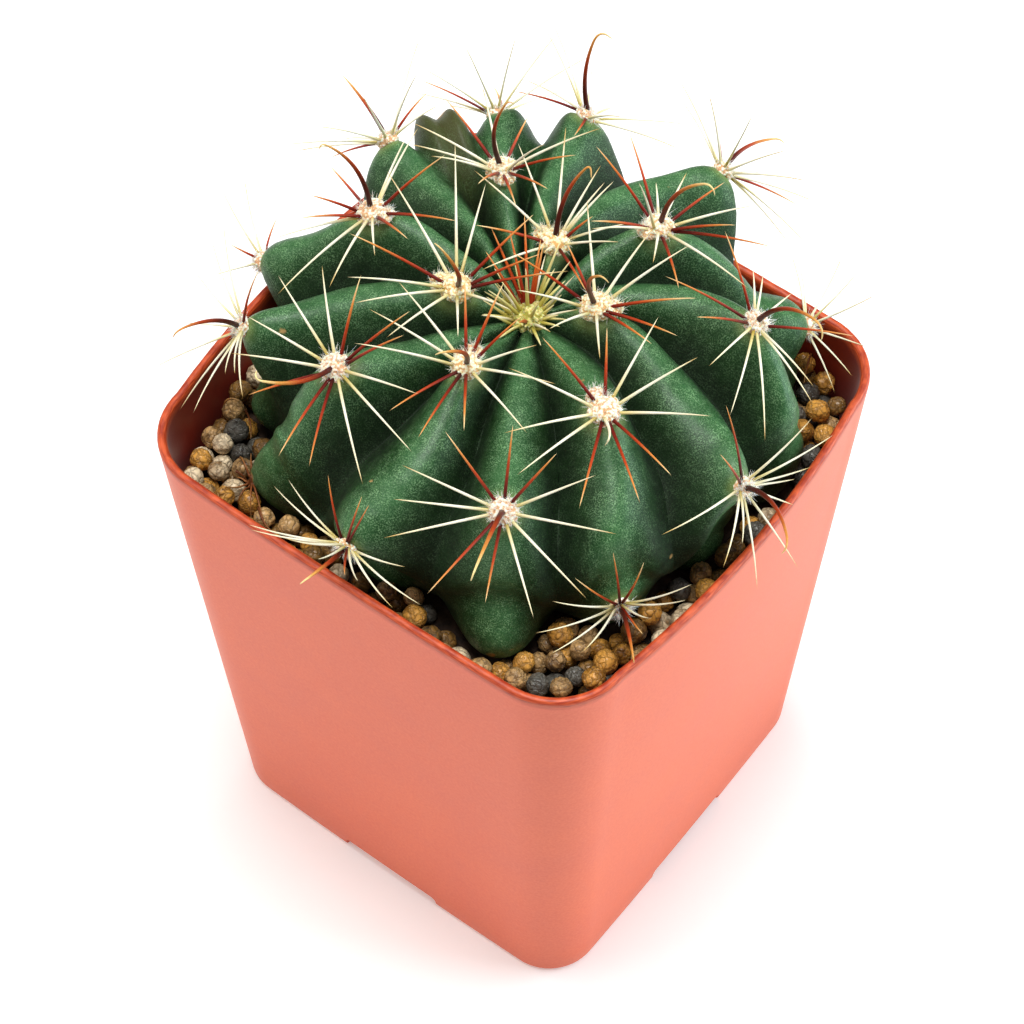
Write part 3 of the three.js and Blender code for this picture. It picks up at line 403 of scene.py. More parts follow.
# The outlines of a crest and of a furrow, as distances from the middle and heights.
CREST = np.array([
    (0, 84.6), (4.5, 85.9), (9.5, 86.9), (16, 87.2), (22.5, 86.6), (27.6, 85.3), (31.2, 83.0),
    (32.6, 79.2), (31.8, 75.6), (32.4, 72.0), (33.2, 68.8), (31.4, 65.8), (27.0, 64.2),
    (21.0, 64.0),
])
FURROW = np.array([
    (0, 84.4), (4.2, 84.4), (8.8, 84.0), (14.8, 82.6), (20.2, 80.8), (24.4, 78.6), (27.0, 76.0),
    (28.2, 73.6), (28.6, 71.4), (28.6, 69.2), (27.8, 67.0), (26.4, 65.3), (24.0, 64.2),
    (20.6, 64.0),
])
# A place counts these points, from 0 at the crown to the last one under the flank.
LAST_PLACE = len(CREST) - 1
NECK = ((2.6, 46.0), (6.8, 57.0), (8.0, 64.0))
NECK_TIP = 43.0
CROWN_END = 1.5
TWIST_LENGTH = 5
BROADEN_LENGTH = 4
CROWN_POWER = 1.5
FLANK_POWER = 1.15
CROWN_CREASE = 0.8
FLANK_CREASE = 0.25
CREASE_POWER = 2.4
LOBE_HEIGHT = 2.0
LOBE_SPREAD = 0.9
LOBE_SHIFT = 0.15
LOBE_SINK = 0.6
POINTED_FROM = 4
POINTED_LENGTH = 2.5
POINT_HEIGHT = 3.0
POINT_SINK = 1.2
POINT_SPREAD = 2.5
WALL_PLAY = 0.9
WALL_SOFTNESS = 2
RIM_CLEAR_SLOPE = 1.15
FREE_HEIGHT = 84.0
# Lobes wedged into furrows, as (the rib before, place, height, width, spread).
FURROW_FORMS = (
    (7, 5.9, 9.5, 0.45, 1.2), (6, 6.0, 5.0, 0.7, 1.2), (11, 8.6, 1.5, 0.6, 1.6),
    (12, 6.3, 2.4, 0.6, 2.2), (0, 6.3, 2.8, 0.6, 2.4), (1, 6.3, 3.0, 0.6, 2.2),
)
WEDGES = FURROW_FORMS[:2]
# How far the wedged lobes count as crests in the skin's colour, which lifts the painted furrow
# shade off them.
WEDGE_BLOOM_AND_LIGHT = 0.75
WEDGE_AGED = 0.8
WEDGE_SPREAD = 1.6
STRAIGHT = (0, 0, 1)
SKIN_UNEVEN_MM = ((5.0, 0.16), (1.7, 0.05))
SIDE_COUNT = 36
PLACE_COUNT = 174
FURROW_CLOSENESS = 1.5
SLOPE_STEP = 0.02
NORMAL_STEP = 0.03
NEAR_NOTHING = 1e-9

# Each rib has its azimuths at the crown and at the flank, in degrees, and where its crest bends
# aside, as (place, degrees, spread). Then come the forms that stand out or in, as (place,
# height, spread), and its areoles, as (place, pad, youth, tips of its red spines). The tips were
# read in the photograph, in pixels of its 1024-pixel frame.
RIBS = (
    (263, 264, STRAIGHT, ((9.7, 2.8, 1.5),), (
        (5.0, 2.0, 0.0, ((427, 594), (485, 604), (557, 453), (513, 425), (445, 431))),)),
    (301, 287, STRAIGHT, (), (
        (3.3, 2.2, 0.2, ((542, 337), (607, 327), (672, 476), (640, 503), (579, 509))),
        (8.6, 1.5, 0.1, ((575, 578), (613, 552), (644, 562), (643, 634))))),
    (353, 315, (3.4, -14, 1.2), ((10, -4, 1.8),), (
        (1.7, 2.3, 0.7, ((697, 298), (678, 336), (652, 344), (512, 252), (567, 243))),
        (6.1, 1.5, 0.1, ((726, 405), (720, 454))))),
    (374, 341, STRAIGHT, ((9, 1.5, 1.3),), (
        (4.5, 1.8, 0.1, ((665, 276), (725, 231), (696, 317), (854, 336))),)),
    (404, 369, STRAIGHT, ((5.6, -3.5, 1.4),), (
        (3.3, 2.2, 0.4, (
            (596, 146), (629, 132), (725, 182), (736, 225), (773, 247), (679, 289), (590, 221))),
        (7.8, 1.4, 0.0, ()))),
    (429, 404, STRAIGHT, (), (
        (1.9, 2.1, 0.9, ((593, 216), (586, 291), (475, 225))),
        (6.1, 1.6, 0.1, ((716, 130), (799, 206), (707, 182))))),
    (446, 436, STRAIGHT, (), ((5.7, 1.7, 0.1, ((513, 91), (574, 136))),)),
    (460, 456, STRAIGHT, (), (
        (3.5, 2.2, 0.5, ((445, 98), (529, 115), (576, 155), (548, 189), (516, 206), (478, 184))),
        (6.2, 1.5, 0.1, ((420, 80),)))),
    (476, 481, STRAIGHT, (), ((5.9, 1.7, 0.1, ((429, 91), (330, 158))),)),
    (492, 517, STRAIGHT, (), (
        (3.9, 2.2, 0.3, ((330, 166), (310, 195), (300, 218), (408, 239), (457, 221), (445, 155))),
        (7.0, 1.4, 0.0, ((230, 244), (278, 216))))),
    (528, 540, STRAIGHT, (), (
        (1.8, 2.3, 0.9, ((534, 214), (540, 254), (551, 273), (349, 233))),
        (6.1, 1.5, 0.1, ((259, 270),)))),
    (567, 559, (6.6, 5, 1.6), ((6.4, -2.4, 1.5), (9.2, 1.5, 1.8)), (
        (4.1, 2.1, 0.1, (
            (248, 395), (278, 457), (309, 467), (361, 275), (410, 311), (404, 335))),)),
    (592, 593, (3.9, 6, 1.5), ((10, -4.5, 1.7),), (
        (2.4, 2.1, 0.6, ((465, 275), (504, 282), (522, 316), (464, 431), (418, 438), (389, 411))),
        (7.1, 1.5, 0.1, ((345, 575), (369, 505), (362, 496), (328, 475))))),
)


def smooth_step(x):
    """A smooth rise from 0 to 1 as x goes from 0 to 1."""
    c = np.clip(x, 0, 1)
    return c * c * (3 - 2 * c)


def along(points, place):
    """A smooth curve through points, at places that count them."""
    last = len(points) - 1
    p = np.clip(place, 0, last)
    i = np.minimum(np.floor(p).astype(int), last - 1)
    w = (p - i)[..., None]
    a, b = points[np.maximum(i - 1, 0)], points[i]
    c, d = points[i + 1], points[np.minimum(i + 2, last)]
    v0, v1 = (c - a) / 2, (d - b) / 2
    return (2 * b - 2 * c + v0 + v1) * w ** 3 + (3 * c - 3 * b - 2 * v0 - v1) * w ** 2 + v0 * w + b


def rib_azimuth(rib, place):
    """Which way a rib's crest lies, in degrees, where ribs past the last one go on round."""
    turns, ring = divmod(rib, RIB_COUNT)
    crown, flank, (middle, degrees, spread) = RIBS[ring][:3]
    aside = degrees * np.exp(-((place - middle) / spread) ** 2)
    twist = (flank - crown) * smooth_step((place - CROWN_END) / TWIST_LENGTH)
    return crown + twist + aside + 360 * turns


def wall_distance(azimuth, height):
    """How far the pot's inner wall stands from the plant's middle."""
    half = pot_half(np.minimum(height, POT_HEIGHT)) - WALL
    c, s = np.cos(azimuth), np.sin(azimuth)
    return np.minimum((np.sign(c) * half - PLANT_X) / c, (np.sign(s) * half - PLANT_Y) / s)


def soft_lesser(a, b, width):
    """The lesser of two numbers, with a soft change from one to the other."""
    h = np.clip(0.5 + 0.5 * (b - a) / width, 0, 1)
    return b + (a - b) * h - width * h * (1 - h)


def furrow_share(side, place):
    """How far the skin has sunk towards the furrow: narrow furrows at the crown, broad below."""
    down = smooth_step((place - CROWN_END) / BROADEN_LENGTH)
    power = CROWN_POWER + (FLANK_POWER - CROWN_POWER) * down
    crease = CROWN_CREASE + (FLANK_CREASE - CROWN_CREASE) * down
    rounded = np.sin(np.abs(side) ** power * np.pi / 2) ** 2
    return rounded * (1 - crease) + np.abs(side) ** CREASE_POWER * crease


def skin(rib, side, place):
    """Points of the skin. Across a rib, side runs from -1 in one furrow to 1 in the next."""
    side, place = np.broadcast_arrays(np.asarray(side, float), np.asarray(place, float))
    here = rib_azimuth(rib, place)
    beside = np.where(side > 0, rib_azimuth(rib + 1, place), rib_azimuth(rib - 1, place))
    azimuth = np.radians(here + (beside - here) * 0.5 * np.abs(side) + PLANT_TURN)
    depth = furrow_share(side, place)
    crest, furrow = along(CREST, place), along(FURROW, place)
    run = along(CREST, place + SLOPE_STEP) - along(CREST, place - SLOPE_STEP)
    run /= np.maximum(np.linalg.norm(run, axis=-1, keepdims=True), NEAR_NOTHING)
    ring = rib % RIB_COUNT
    swell = np.full(place.shape, -LOBE_SINK)
    for middle, height, spread in RIBS[ring][3]:
        swell = swell + height * np.exp(-((place - middle) / spread) ** 2)
    for middle, *_ in RIBS[ring][4]:
        point = smooth_step((middle - POINTED_FROM) / POINTED_LENGTH)
        lobe = np.exp(-((place - middle + LOBE_SHIFT) / LOBE_SPREAD) ** 2)
        lobe_height = LOBE_HEIGHT + (POINT_HEIGHT - LOBE_HEIGHT) * point
        swell = swell + lobe_height * lobe * (1 - depth) ** point
        swell = swell - POINT_SINK * point * np.exp(-((place - middle) / POINT_SPREAD) ** 2)
    at_ends = smooth_step(place / 2), smooth_step((LAST_PLACE - 0.5 - place) / 2)
    swell = swell * (1 - depth) * at_ends[0] * at_ends[1]
    for form_rib, middle, height, width, spread in FURROW_FORMS:
        on_form = (side > 0) if ring == form_rib else (side < 0)
        if ring in (form_rib, (form_rib + 1) % RIB_COUNT):
            across = np.exp(-((1 - np.abs(side)) / width) ** 4)
            rise = height * across * np.exp(-((place - middle) / spread) ** 2)
            swell = swell + np.where(on_form, rise, 0)
    radius = crest[..., 0] + (furrow[..., 0] - crest[..., 0]) * depth - run[..., 1] * swell
    z = crest[..., 1] + (furrow[..., 1] - crest[..., 1]) * depth + run[..., 0] * swell
    room = wall_distance(azimuth, z) - WALL_PLAY + RIM_CLEAR_SLOPE * np.maximum(0, z - POT_HEIGHT)
    radius = np.where(z < FREE_HEIGHT, soft_lesser(radius, room, WALL_SOFTNESS), radius)
    x, y = PLANT_X + radius * np.cos(azimuth), PLANT_Y + radius * np.sin(azimuth)
    return np.stack([x, y, z], axis=-1)


def skin_normal(rib, place):
    """The way out of the skin at a place on a rib's crest."""
    down = skin(rib, 0.0, place + NORMAL_STEP) - skin(rib, 0.0, place - NORMAL_STEP)
    across = skin(rib, NORMAL_STEP, place) - skin(rib, 0.0, place)
    normal = np.cross(down, across)
    return normal / np.linalg.norm(normal)


# Living epidermis: a deep green skin under a thin blue-grey wax bloom that is thickest on the
# ribs' crests. The skin is lighter and greyer towards the crests and darker towards the furrows:
# partly that bloom, partly a painted highlight on the crests and painted shade in the furrows.
# Breathing pores and flecks of wax show as fine pale speckles, drawn as coarse as they need to
# show, and fewer towards the furrows. A few old knocks have healed to tan cork, and one lobe at
# the back has aged to an olive brown.
epidermis, shader = new_material("waxed_cactus_epidermis", {
    "IOR": 1.45,
    "Specular IOR Level": 0.3,
    "Subsurface Weight": 0.12,
    "Subsurface Scale": 0.0009,
    "Subsurface Radius": (0.5, 1.0, 0.35),
})
FLECK_MM = 0.15
PORE_MM = 0.2
DUST_MM = 1.3
PATCH_MM = 3.5
spot = add_node(epidermis, "TexCoord").outputs["Object"]
crest_bloom_and_shade_mask, areole_mask, cork_mask, aged_mask = (
    add_node(epidermis, "Attribute", attribute_name=name).outputs["Fac"]
    for name in ("crest", "areole", "cork", "aged")
)
patch, dusty, flecks, pores = (
    add_node(
        epidermis, "TexNoise",
        {"Vector": spot, "Scale": 1 / (size * MM), "Detail": detail, "Roughness": harshness},
    )
    for size, detail, harshness in (
        (PATCH_MM, 4.0, 0.5), (DUST_MM, 3.0, 0.5), (FLECK_MM, 2.0, 0.7), (PORE_MM, 2.0, 0.5),
    )
)
# Lighter towards the crests: the wax bloom with a painted highlight; darker in the furrows: painted
# shade.
bloom_and_furrow_shade = add_node(epidermis, "Math", {0: crest_bloom_and_shade_mask, 1: 0.75, 2: -0.08}, operation="MULTIPLY_ADD")
unevenness = add_node(
    epidermis, "Math", {0: patch.outputs["Fac"], 1: 0.5, 2: bloom_and_furrow_shade.outputs["Value"]},
    operation="MULTIPLY_ADD",
)
green = add_node(
    epidermis, "ValToRGB", {"Fac": unevenness.outputs["Value"]},
    stops=[(0.15, "061a04"), (0.42, "0b2b08"), (0.7, "153b17"), (0.97, "345f36")],
)
fleck = add_node(
    epidermis, "MapRange", {"Value": flecks.outputs["Fac"], "From Min": 0.48, "From Max": 0.62},
)
dense = add_node(
    epidermis, "MapRange",
    {"Value": dusty.outputs["Fac"], "From Min": 0.38, "From Max": 0.62, "To Min": 0.35},
)
shown = add_node(
    epidermis, "Math", {0: fleck.outputs["Result"], 1: dense.outputs["Result"]},
    operation="MULTIPLY",
)
by_crest = add_node(
    epidermis, "MapRange", {"Value": crest_bloom_and_shade_mask, "From Min": 0.05, "To Min": 0.1, "To Max": 0.58},
)
speckled = add_node(
    epidermis, "Math", {0: shown.outputs["Value"], 1: by_crest.outputs["Result"]},
    operation="MULTIPLY",
)
flecked = add_node(
    epidermis, "Mix",
    {0: speckled.outputs["Value"], 6: green.outputs["Color"], 7: linear("92bd88")},
    data_type="RGBA",
)
aged = add_node(
    epidermis, "Mix",
    {0: aged_mask, 6: flecked.outputs[2], 7: linear("4a4522")}, data_type="RGBA",
)
yellowed = add_node(
    epidermis, "Math", {0: areole_mask, 1: 0.5}, operation="MULTIPLY",
)
paled = add_node(
    epidermis, "Mix",
    {0: yellowed.outputs["Value"], 6: aged.outputs[2], 7: linear("93a05c")}, data_type="RGBA",
)
scab = add_node(epidermis, "Math", {0: cork_mask, 1: dusty.outputs["Fac"]}, operation="MULTIPLY")
corky = add_node(
    epidermis, "MapRange",
    {"Value": scab.outputs["Value"], "From Min": 0.22, "From Max": 0.38, "To Max": 0.85},
)
tint = add_node(
    epidermis, "Mix",
    {0: corky.outputs["Result"], 6: paled.outputs[2], 7: linear("b08a55")}, data_type="RGBA",
)
connect(epidermis, tint.outputs[2], shader, "Base Color")
wax = add_node(
    epidermis, "MapRange", {"Value": pores.outputs["Fac"], "To Min": 0.26, "To Max": 0.5},
)
dulled = add_node(
    epidermis, "MapRange", {"Value": crest_bloom_and_shade_mask, "To Min": 0.3, "To Max": 0.0},
)
gleam = add_node(
    epidermis, "Math", {0: wax.outputs["Result"], 1: dulled.outputs["Result"]}, operation="ADD",
)
connect(epidermis, gleam.outputs["Value"], shader, "Roughness")
relief = add_node(
    epidermis, "Bump", {"Height": pores.outputs["Fac"], "Strength": 0.7, "Distance": 0.05 * MM},
)
connect(epidermis, relief.outputs["Normal"], shader, "Normal")

# Old knocks, each with its rib, its side and place there, and its size.
CORK_SPOTS = (
    (11, 0.0, 9.7, 0.7), (0, -0.1, 10.0, 0.8), (0, 0.2, 9.8, 0.4), (1, -0.12, 2.5, 0.55),
    (10, 0.3, 5.2, 0.5), (1, 0.95, 6.6, 0.45), (3, 0.1, 9.3, 0.6), (7, 0.9, 5.9, 1.3),
    (5, -0.2, 4.6, 0.4), (12, -0.3, 5.2, 0.3),
)

# Points across and along every rib, closest in the furrows, with how near each is to a crest
# and to an areole, and how aged it is.
CREST_POWER = 2.2
FIRST_PLACE = 0.04
AREOLE_LIFT = 0.5
AREOLE_EDGE = 0.8
AREOLE_FADE = 0.5
even = np.linspace(-1, 1, SIDE_COUNT, endpoint=False)
sides = np.sign(even) * (1 - (1 - np.abs(even)) ** FURROW_CLOSENESS)
places = np.linspace(LAST_PLACE, FIRST_PLACE, PLACE_COUNT)
side_grid, place_grid = np.meshgrid(sides, places)
skin_rows = np.concatenate([skin(rib, side_grid, place_grid) for rib in range(RIB_COUNT)], axis=1)
# How near each point is to a crest, which sets the bloom, the painted crest highlight and the
# painted furrow shade.
crest_bloom_and_shade_rows = np.tile((1 - furrow_share(side_grid, place_grid)) ** CREST_POWER, (1, RIB_COUNT))
aged_rows = np.zeros_like(crest_bloom_and_shade_rows)
# The wedged lobes sit in furrows but take the crests' bloom and painted highlight instead of the
# painted furrow shade.
for form_rib, middle, _, width, _ in WEDGES:
    for rib, part in ((form_rib, side_grid > 0), ((form_rib + 1) % RIB_COUNT, side_grid < 0)):
        columns = slice(rib * SIDE_COUNT, (rib + 1) * SIDE_COUNT)
        aside = (1 - np.abs(side_grid)) / width
        share = np.exp(-aside ** 4 - ((place_grid - middle) / WEDGE_SPREAD) ** 2)
        bloomed_and_lit = np.where(part, WEDGE_BLOOM_AND_LIGHT * share, 0)
        crest_bloom_and_shade_rows[:, columns] = np.maximum(crest_bloom_and_shade_rows[:, columns], bloomed_and_lit)
        if (form_rib, middle) == WEDGES[0][:2]:
            aged_rows[:, columns] = np.where(part, WEDGE_AGED * share, 0)
areoles = []
for rib, (*_, rib_areoles) in enumerate(RIBS):
    for place, pad, youth, red_tips in rib_areoles:
        out = skin_normal(rib, place)
        at = skin(rib, 0.0, place) + AREOLE_LIFT * out
        areoles.append({"at": at, "out": out, "pad": pad, "youth": youth, "red": red_tips})
flat = skin_rows.reshape(-1, 3)
nearness = np.zeros(len(flat))
for areole in areoles:
    gap = np.linalg.norm(flat - areole["at"], axis=1) / areole["pad"]
    fade = np.maximum(gap - AREOLE_EDGE, 0) / AREOLE_FADE
    nearness = np.maximum(nearness, np.exp(-fade ** 2))

first_ring = skin_rows[0]
angles = np.arctan2(first_ring[:, 1] - PLANT_Y, first_ring[:, 0] - PLANT_X)
neck_rings = [
    np.stack([
        PLANT_X + radius * np.cos(angles), PLANT_Y + radius * np.sin(angles),
        np.full(len(angles), height),
    ], axis=-1)
    for radius, height in NECK
]
stem_rings = neck_rings + list(skin_rows)
stem_points, stem_faces = closed_loft(
    [ring.tolist() for ring in stem_rings],
    (PLANT_X, PLANT_Y, NECK_TIP), (PLANT_X, PLANT_Y, CREST[0][1]),
)
stem = make_object("ribbed_stem", stem_points, stem_faces, epidermis)
normals = np.zeros(len(stem_points) * 3)
stem.data.vertex_normals.foreach_get("vector", normals)
normals = normals.reshape(-1, 3)
moved = np.array(stem_points)
for i, point in enumerate(stem_points):
    uneven = sum(
        height * noise.noise(Vector(point) / size) for size, height in SKIN_UNEVEN_MM
    )
    moved[i] += normals[i] * uneven
stem.data.vertices.foreach_set("co", (moved * MM).ravel())
on_neck = np.zeros(len(NECK) * len(angles))
healed = np.zeros(len(flat))
for rib, side, place, size in CORK_SPOTS:
    gap = np.linalg.norm(flat - skin(rib, side, place), axis=1) / size
    healed = np.maximum(healed, np.exp(-gap ** 2))
for name, on_skin, at_crown in (
    ("cork", healed, 0), ("crest", crest_bloom_and_shade_rows.ravel(), 0.5), ("aged", aged_rows.ravel(), 0),
    ("areole", nearness, 0.5),
):
    set_values(stem, name, np.concatenate([on_neck, on_skin, [0, at_crown]]))
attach(stem, "root")
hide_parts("stem")


# The bed is loose fired-clay and stone pellets of 2.3 to 3 mm, poured in and settled: each was
# dropped and rolled until it lay in a hollow, clear of the pot's wall and of the plant.
BED_LOW = 60.4
BED_FLOOR = 64.5
BED_LEVEL = 68.0
BED_LIMIT = 69.2
BED_CLEAR = 0.35
BED_SEED = 11
STEM_BED_GAP = 0.3
PELLET_RADII = (1.18, 1.5)
PELLET_TRIES = 5000
PELLET_GAP = 0.06
ROLL_WAYS = 12
ROLL_STEP = 1.2
ROLL_LEAST = 0.04
ROLL_DROP = 1e-4
TOP_LAYER = 67.0
# Each kind of pellet, with its dark and light colours and its share of the bed.
PELLET_KINDS = (
    ("fired_clay_tan", "5b3f20", "d2a86e", 0.3),
    ("fired_clay_ochre", "734911", "e0a34a", 0.26),
    ("fired_clay_brown", "2f200e", "8c6733", 0.24),
    ("pale_pumice", "8d6d46", "f0dab4", 0.08),
    ("charcoal_slate", "131312", "66635a", 0.12),
)


def wall_bows(height, points, straight):
    """How far the middle of each wall bows out, as it is felt at these points."""
    bows = BASE_BOW + (np.array(RIM_BOWS) - BASE_BOW) * height / POT_HEIGHT
    return bows * np.maximum(1 - (points[..., ::-1] / straight) ** 2, 0)


def in_pot(points, radius):
    """Whether pellets at these points clear the pot's inner wall."""
    half = pot_half(BED_LEVEL) - WALL - BED_CLEAR
    corner = RIM_CORNER - WALL
    beyond = np.abs(points) - (half - corner) - wall_bows(BED_LEVEL, points, half - corner)
    outside = np.linalg.norm(np.maximum(beyond, 0), axis=1) + np.minimum(beyond.max(axis=1), 0)
    return outside + radius < corner


def rest_heights(points, radius, lying, skin_tree):
    """The heights at which a pellet would lie at these points, or infinity where it can't."""
    heights = np.full(len(points), BED_FLOOR + radius)
    if len(lying):
        reach = lying[:, 3] + radius
        apart = np.linalg.norm(points[:, None, :] - lying[None, :, :2], axis=2)
        on_top = lying[:, 2] + np.sqrt(np.maximum(reach ** 2 - apart ** 2, 0))
        heights = np.maximum(heights, np.where(apart < reach, on_top, -1).max(axis=1))
    heights[~in_pot(points, radius)] = np.inf
    for i, height in enumerate(heights):
        if height > BED_LIMIT:
            heights[i] = np.inf
            continue
        centre = Vector((points[i][0], points[i][1], height))
        nearest, normal, _, _ = skin_tree.find_nearest(centre)
        if (centre - nearest).dot(normal) < radius + PELLET_GAP:
            heights[i] = np.inf
    return heights


skin_tree = BVHTree.FromPolygons([Vector(point) for point in moved], stem_faces)
pouring = np.random.default_rng(BED_SEED)
ring_angles = np.linspace(0, 2 * np.pi, ROLL_WAYS, endpoint=False)
compass = np.stack([np.cos(ring_angles), np.sin(ring_angles)], axis=1)
lying = np.zeros((0, 4))
for _ in range(PELLET_TRIES):
    radius = pouring.uniform(*PELLET_RADII)
    spot_now = pouring.uniform(-RIM_HALF, RIM_HALF, (1, 2))
    height = rest_heights(spot_now, radius, lying, skin_tree)[0]
    if not np.isfinite(height):
        continue
    step = ROLL_STEP
    while step > ROLL_LEAST:
        around = spot_now + step * compass
        heights = rest_heights(around, radius, lying, skin_tree)
        best = int(np.argmin(heights))
        if heights[best] < height - ROLL_DROP:
            spot_now, height = around[best:best + 1], heights[best]
        else:
            step /= 2
    lying = np.vstack([lying, [*spot_now[0], height, radius]])

# A pellet's relief, each kind as its height and its waves across one radius.
BALL_RADIUS = 1.06
LUMPS = (0.12, 1.1)
WRINKLES = (0.13, 2.4)
PITS = (0.04, 5.0)
DENTS = (0.22, 1.9)
DENTS_FROM = 0.15
BALL_APART = (7.3, 3.1, 5.7)
BALL_COUNT = 8
FINE_DETAIL = 4
COARSE_DETAIL = 3


def unit_ball(subdivisions):
    """The points and faces of a round ball of radius 1."""
    shape = bmesh.new()
    bmesh.ops.create_icosphere(shape, subdivisions=subdivisions, radius=1)
    points = [vertex.co.copy() for vertex in shape.verts]
    faces = [[vertex.index for vertex in face.verts] for face in shape.faces]
    shape.free()
    return points, faces


def lumpy_ball(subdivisions, seed):
    """A ball with flattened sides, dents and small pits."""
    ball, faces = unit_ball(subdivisions)
    offset = Vector([seed * apart for apart in BALL_APART])
    points = []
    for point in ball:
        lumps = LUMPS[0] * noise.noise(point * LUMPS[1] + offset)
        wrinkles = -WRINKLES[0] * abs(noise.noise(point * WRINKLES[1] + offset)) ** 0.5
        pits = PITS[0] * noise.noise(point * PITS[1] + offset)
        dents = -DENTS[0] * max(0.0, noise.noise(point * DENTS[1] - offset) - DENTS_FROM)
        points.append(point * (BALL_RADIUS + lumps + wrinkles + pits + dents))
    return np.array(points), np.array(faces)


fine_balls = [lumpy_ball(FINE_DETAIL, seed) for seed in range(BALL_COUNT)]
coarse_balls = [lumpy_ball(COARSE_DETAIL, seed) for seed in range(BALL_COUNT)]


def turned(axis_draws):
    """A random rotation from three numbers between 0 and 1."""
    u, v, w = axis_draws
    rolled = Matrix.Rotation(2 * math.pi * u, 3, "Z") @ Matrix.Rotation(math.pi * v, 3, "X")
    return np.array(rolled @ Matrix.Rotation(2 * math.pi * w, 3, "Z"))


MOTTLE_MM = 1.1
CRACK_MM = 0.9
CRACK_WANDER = 0.0014
PELLET_STRETCH = (0.93, 1.04)
SHADE_SPREAD = 0.42
# The pellets at one end are paler: how many times as common each kind is there.
PALE_END = -20.0
PALE_SHARES = np.array((1.0, 0.8, 0.5, 5.0, 1.0))
heaps = {kind[0]: ([], [], []) for kind in PELLET_KINDS}
chances = np.array([kind[3] for kind in PELLET_KINDS])
for x, y, z, radius in lying:
    weights = chances * (PALE_SHARES if x < PALE_END else 1)
    kind = PELLET_KINDS[int(pouring.choice(len(PELLET_KINDS), p=weights / weights.sum()))]
    balls = fine_balls if z > TOP_LAYER else coarse_balls
    ball_points, ball_faces = balls[int(pouring.integers(len(balls)))]
    stretch = pouring.uniform(*PELLET_STRETCH, 3)
    placed = (ball_points * stretch) @ turned(pouring.random(3)).T * radius + (x, y, z)
    points, faces, shades = heaps[kind[0]]
    start = sum(len(part) for part in points)
    points.append(placed)
    faces.append(ball_faces + start)
    shades.append(np.full(len(placed), SHADE_SPREAD * pouring.random()))
pellet_pieces = []
for name, dark, light, _ in PELLET_KINDS:
    # Fired clay or stone, tumbled: matt with a slight burnish on the high places, and painted
    # shade darkening the cracks. Each pellet has its own tone.
    clay, shader = new_material(name, {"IOR": 1.5})
    spot = add_node(clay, "TexCoord").outputs["Object"]
    shade = add_node(clay, "Attribute", attribute_name="shade").outputs["Fac"]
    mottle = add_node(
        clay, "TexNoise",
        {"Vector": spot, "Scale": 1 / (MOTTLE_MM * MM), "Detail": 6.0, "Distortion": 0.8},
    )
    wander = add_node(
        clay, "Mix", {0: CRACK_WANDER, 4: spot, 5: mottle.outputs["Color"]}, data_type="VECTOR",
    )
    crack = add_node(
        clay, "TexVoronoi", {"Vector": wander.outputs[1], "Scale": 1 / (CRACK_MM * MM)},
        feature="DISTANCE_TO_EDGE",
    )
    mixed = add_node(
        clay, "Math", {0: mottle.outputs["Fac"], 1: 1.3, 2: shade}, operation="MULTIPLY_ADD",
    )
    tone = add_node(
        clay, "ValToRGB", {"Fac": mixed.outputs["Value"]}, stops=[(0.5, dark), (1.0, light)],
    )
    # Painted shade darkens the cracks.
    crack_shade = add_node(
        clay, "MapRange",
        {"Value": crack.outputs["Distance"], "From Max": 0.13, "To Min": 0.42, "To Max": 0.0},
    )
    tint = add_node(
        clay, "Mix",
        {0: crack_shade.outputs["Result"], 6: tone.outputs["Color"], 7: linear("2a1a10")},
        data_type="RGBA",
    )
    connect(clay, tint.outputs[2], shader, "Base Color")
    matt = add_node(
        clay, "MapRange", {"Value": mottle.outputs["Fac"], "To Min": 0.24, "To Max": 0.46},
    )
    connect(clay, matt.outputs["Result"], shader, "Roughness")
    grooves = add_node(
        clay, "MapRange", {"Value": crack.outputs["Distance"], "From Max": 0.16},
    )
    creased = add_node(
        clay, "Bump", {"Height": grooves.outputs["Result"], "Strength": 0.8, "Distance": 0.12 * MM},
    )
    relief = add_node(
        clay, "Bump",
        {"Height": mottle.outputs["Fac"], "Strength": 0.6, "Distance": 0.15 * MM,
         "Normal": creased.outputs["Normal"]},
    )
    connect(clay, relief.outputs["Normal"], shader, "Normal")
    points, faces, shades = heaps[name]
    heap = make_object(
        "pellets_" + name, np.concatenate(points), np.concatenate(faces).tolist(), clay,
    )
    set_values(heap, "shade", np.concatenate(shades))
    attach(heap, "root")
    pellet_pieces.append(heap)


DUST_STEP = 0.8
DUST_LIFT = 0.3
# The sheet's bumps, as (height, waves per millimetre, layer of the noise).
DUST_BUMPS = ((0.35, 0.9, 0), (0.2, 2.3, 5))


def bed_grid(step):
    """A bumpy sheet of dust and broken pellets under the loose ones, inside the pot."""
    half = pot_half(BED_LOW) - WALL - BED_CLEAR
    straight = half - RIM_CORNER + WALL
    values = np.linspace(-half, half, int(2 * half / step))
    rows = []
    for y in values:
        row = []
        for x in values:
            beyond = np.abs([x, y]) - straight
            far = np.linalg.norm(np.maximum(beyond, 0))
            scale = min(1.0, (RIM_CORNER - WALL) / far) if far > 0 else 1.0
            pulled = [
                math.copysign(straight + over * scale, value) if over > 0 else value
                for value, over in zip((x, y), beyond)
            ]
            bump = sum(
                height * noise.noise(Vector((x, y, layer)) * waves)
                for height, waves, layer in DUST_BUMPS
            )
            row.append((*pulled, BED_FLOOR + DUST_LIFT + bump))
        rows.append(row)
    rows = np.array(rows)
    rows[..., :2] *= 1 + wall_bows(BED_LOW, rows[..., :2], straight) / half
    for row in rows:
        for point in row:
            hit = skin_tree.ray_cast(Vector((point[0], point[1], BED_LOW)), Vector((0, 0, 1)))[0]
            if hit:
                point[2] = min(point[2], max(hit.z - STEM_BED_GAP, BED_LOW + STEM_BED_GAP))
    return rows


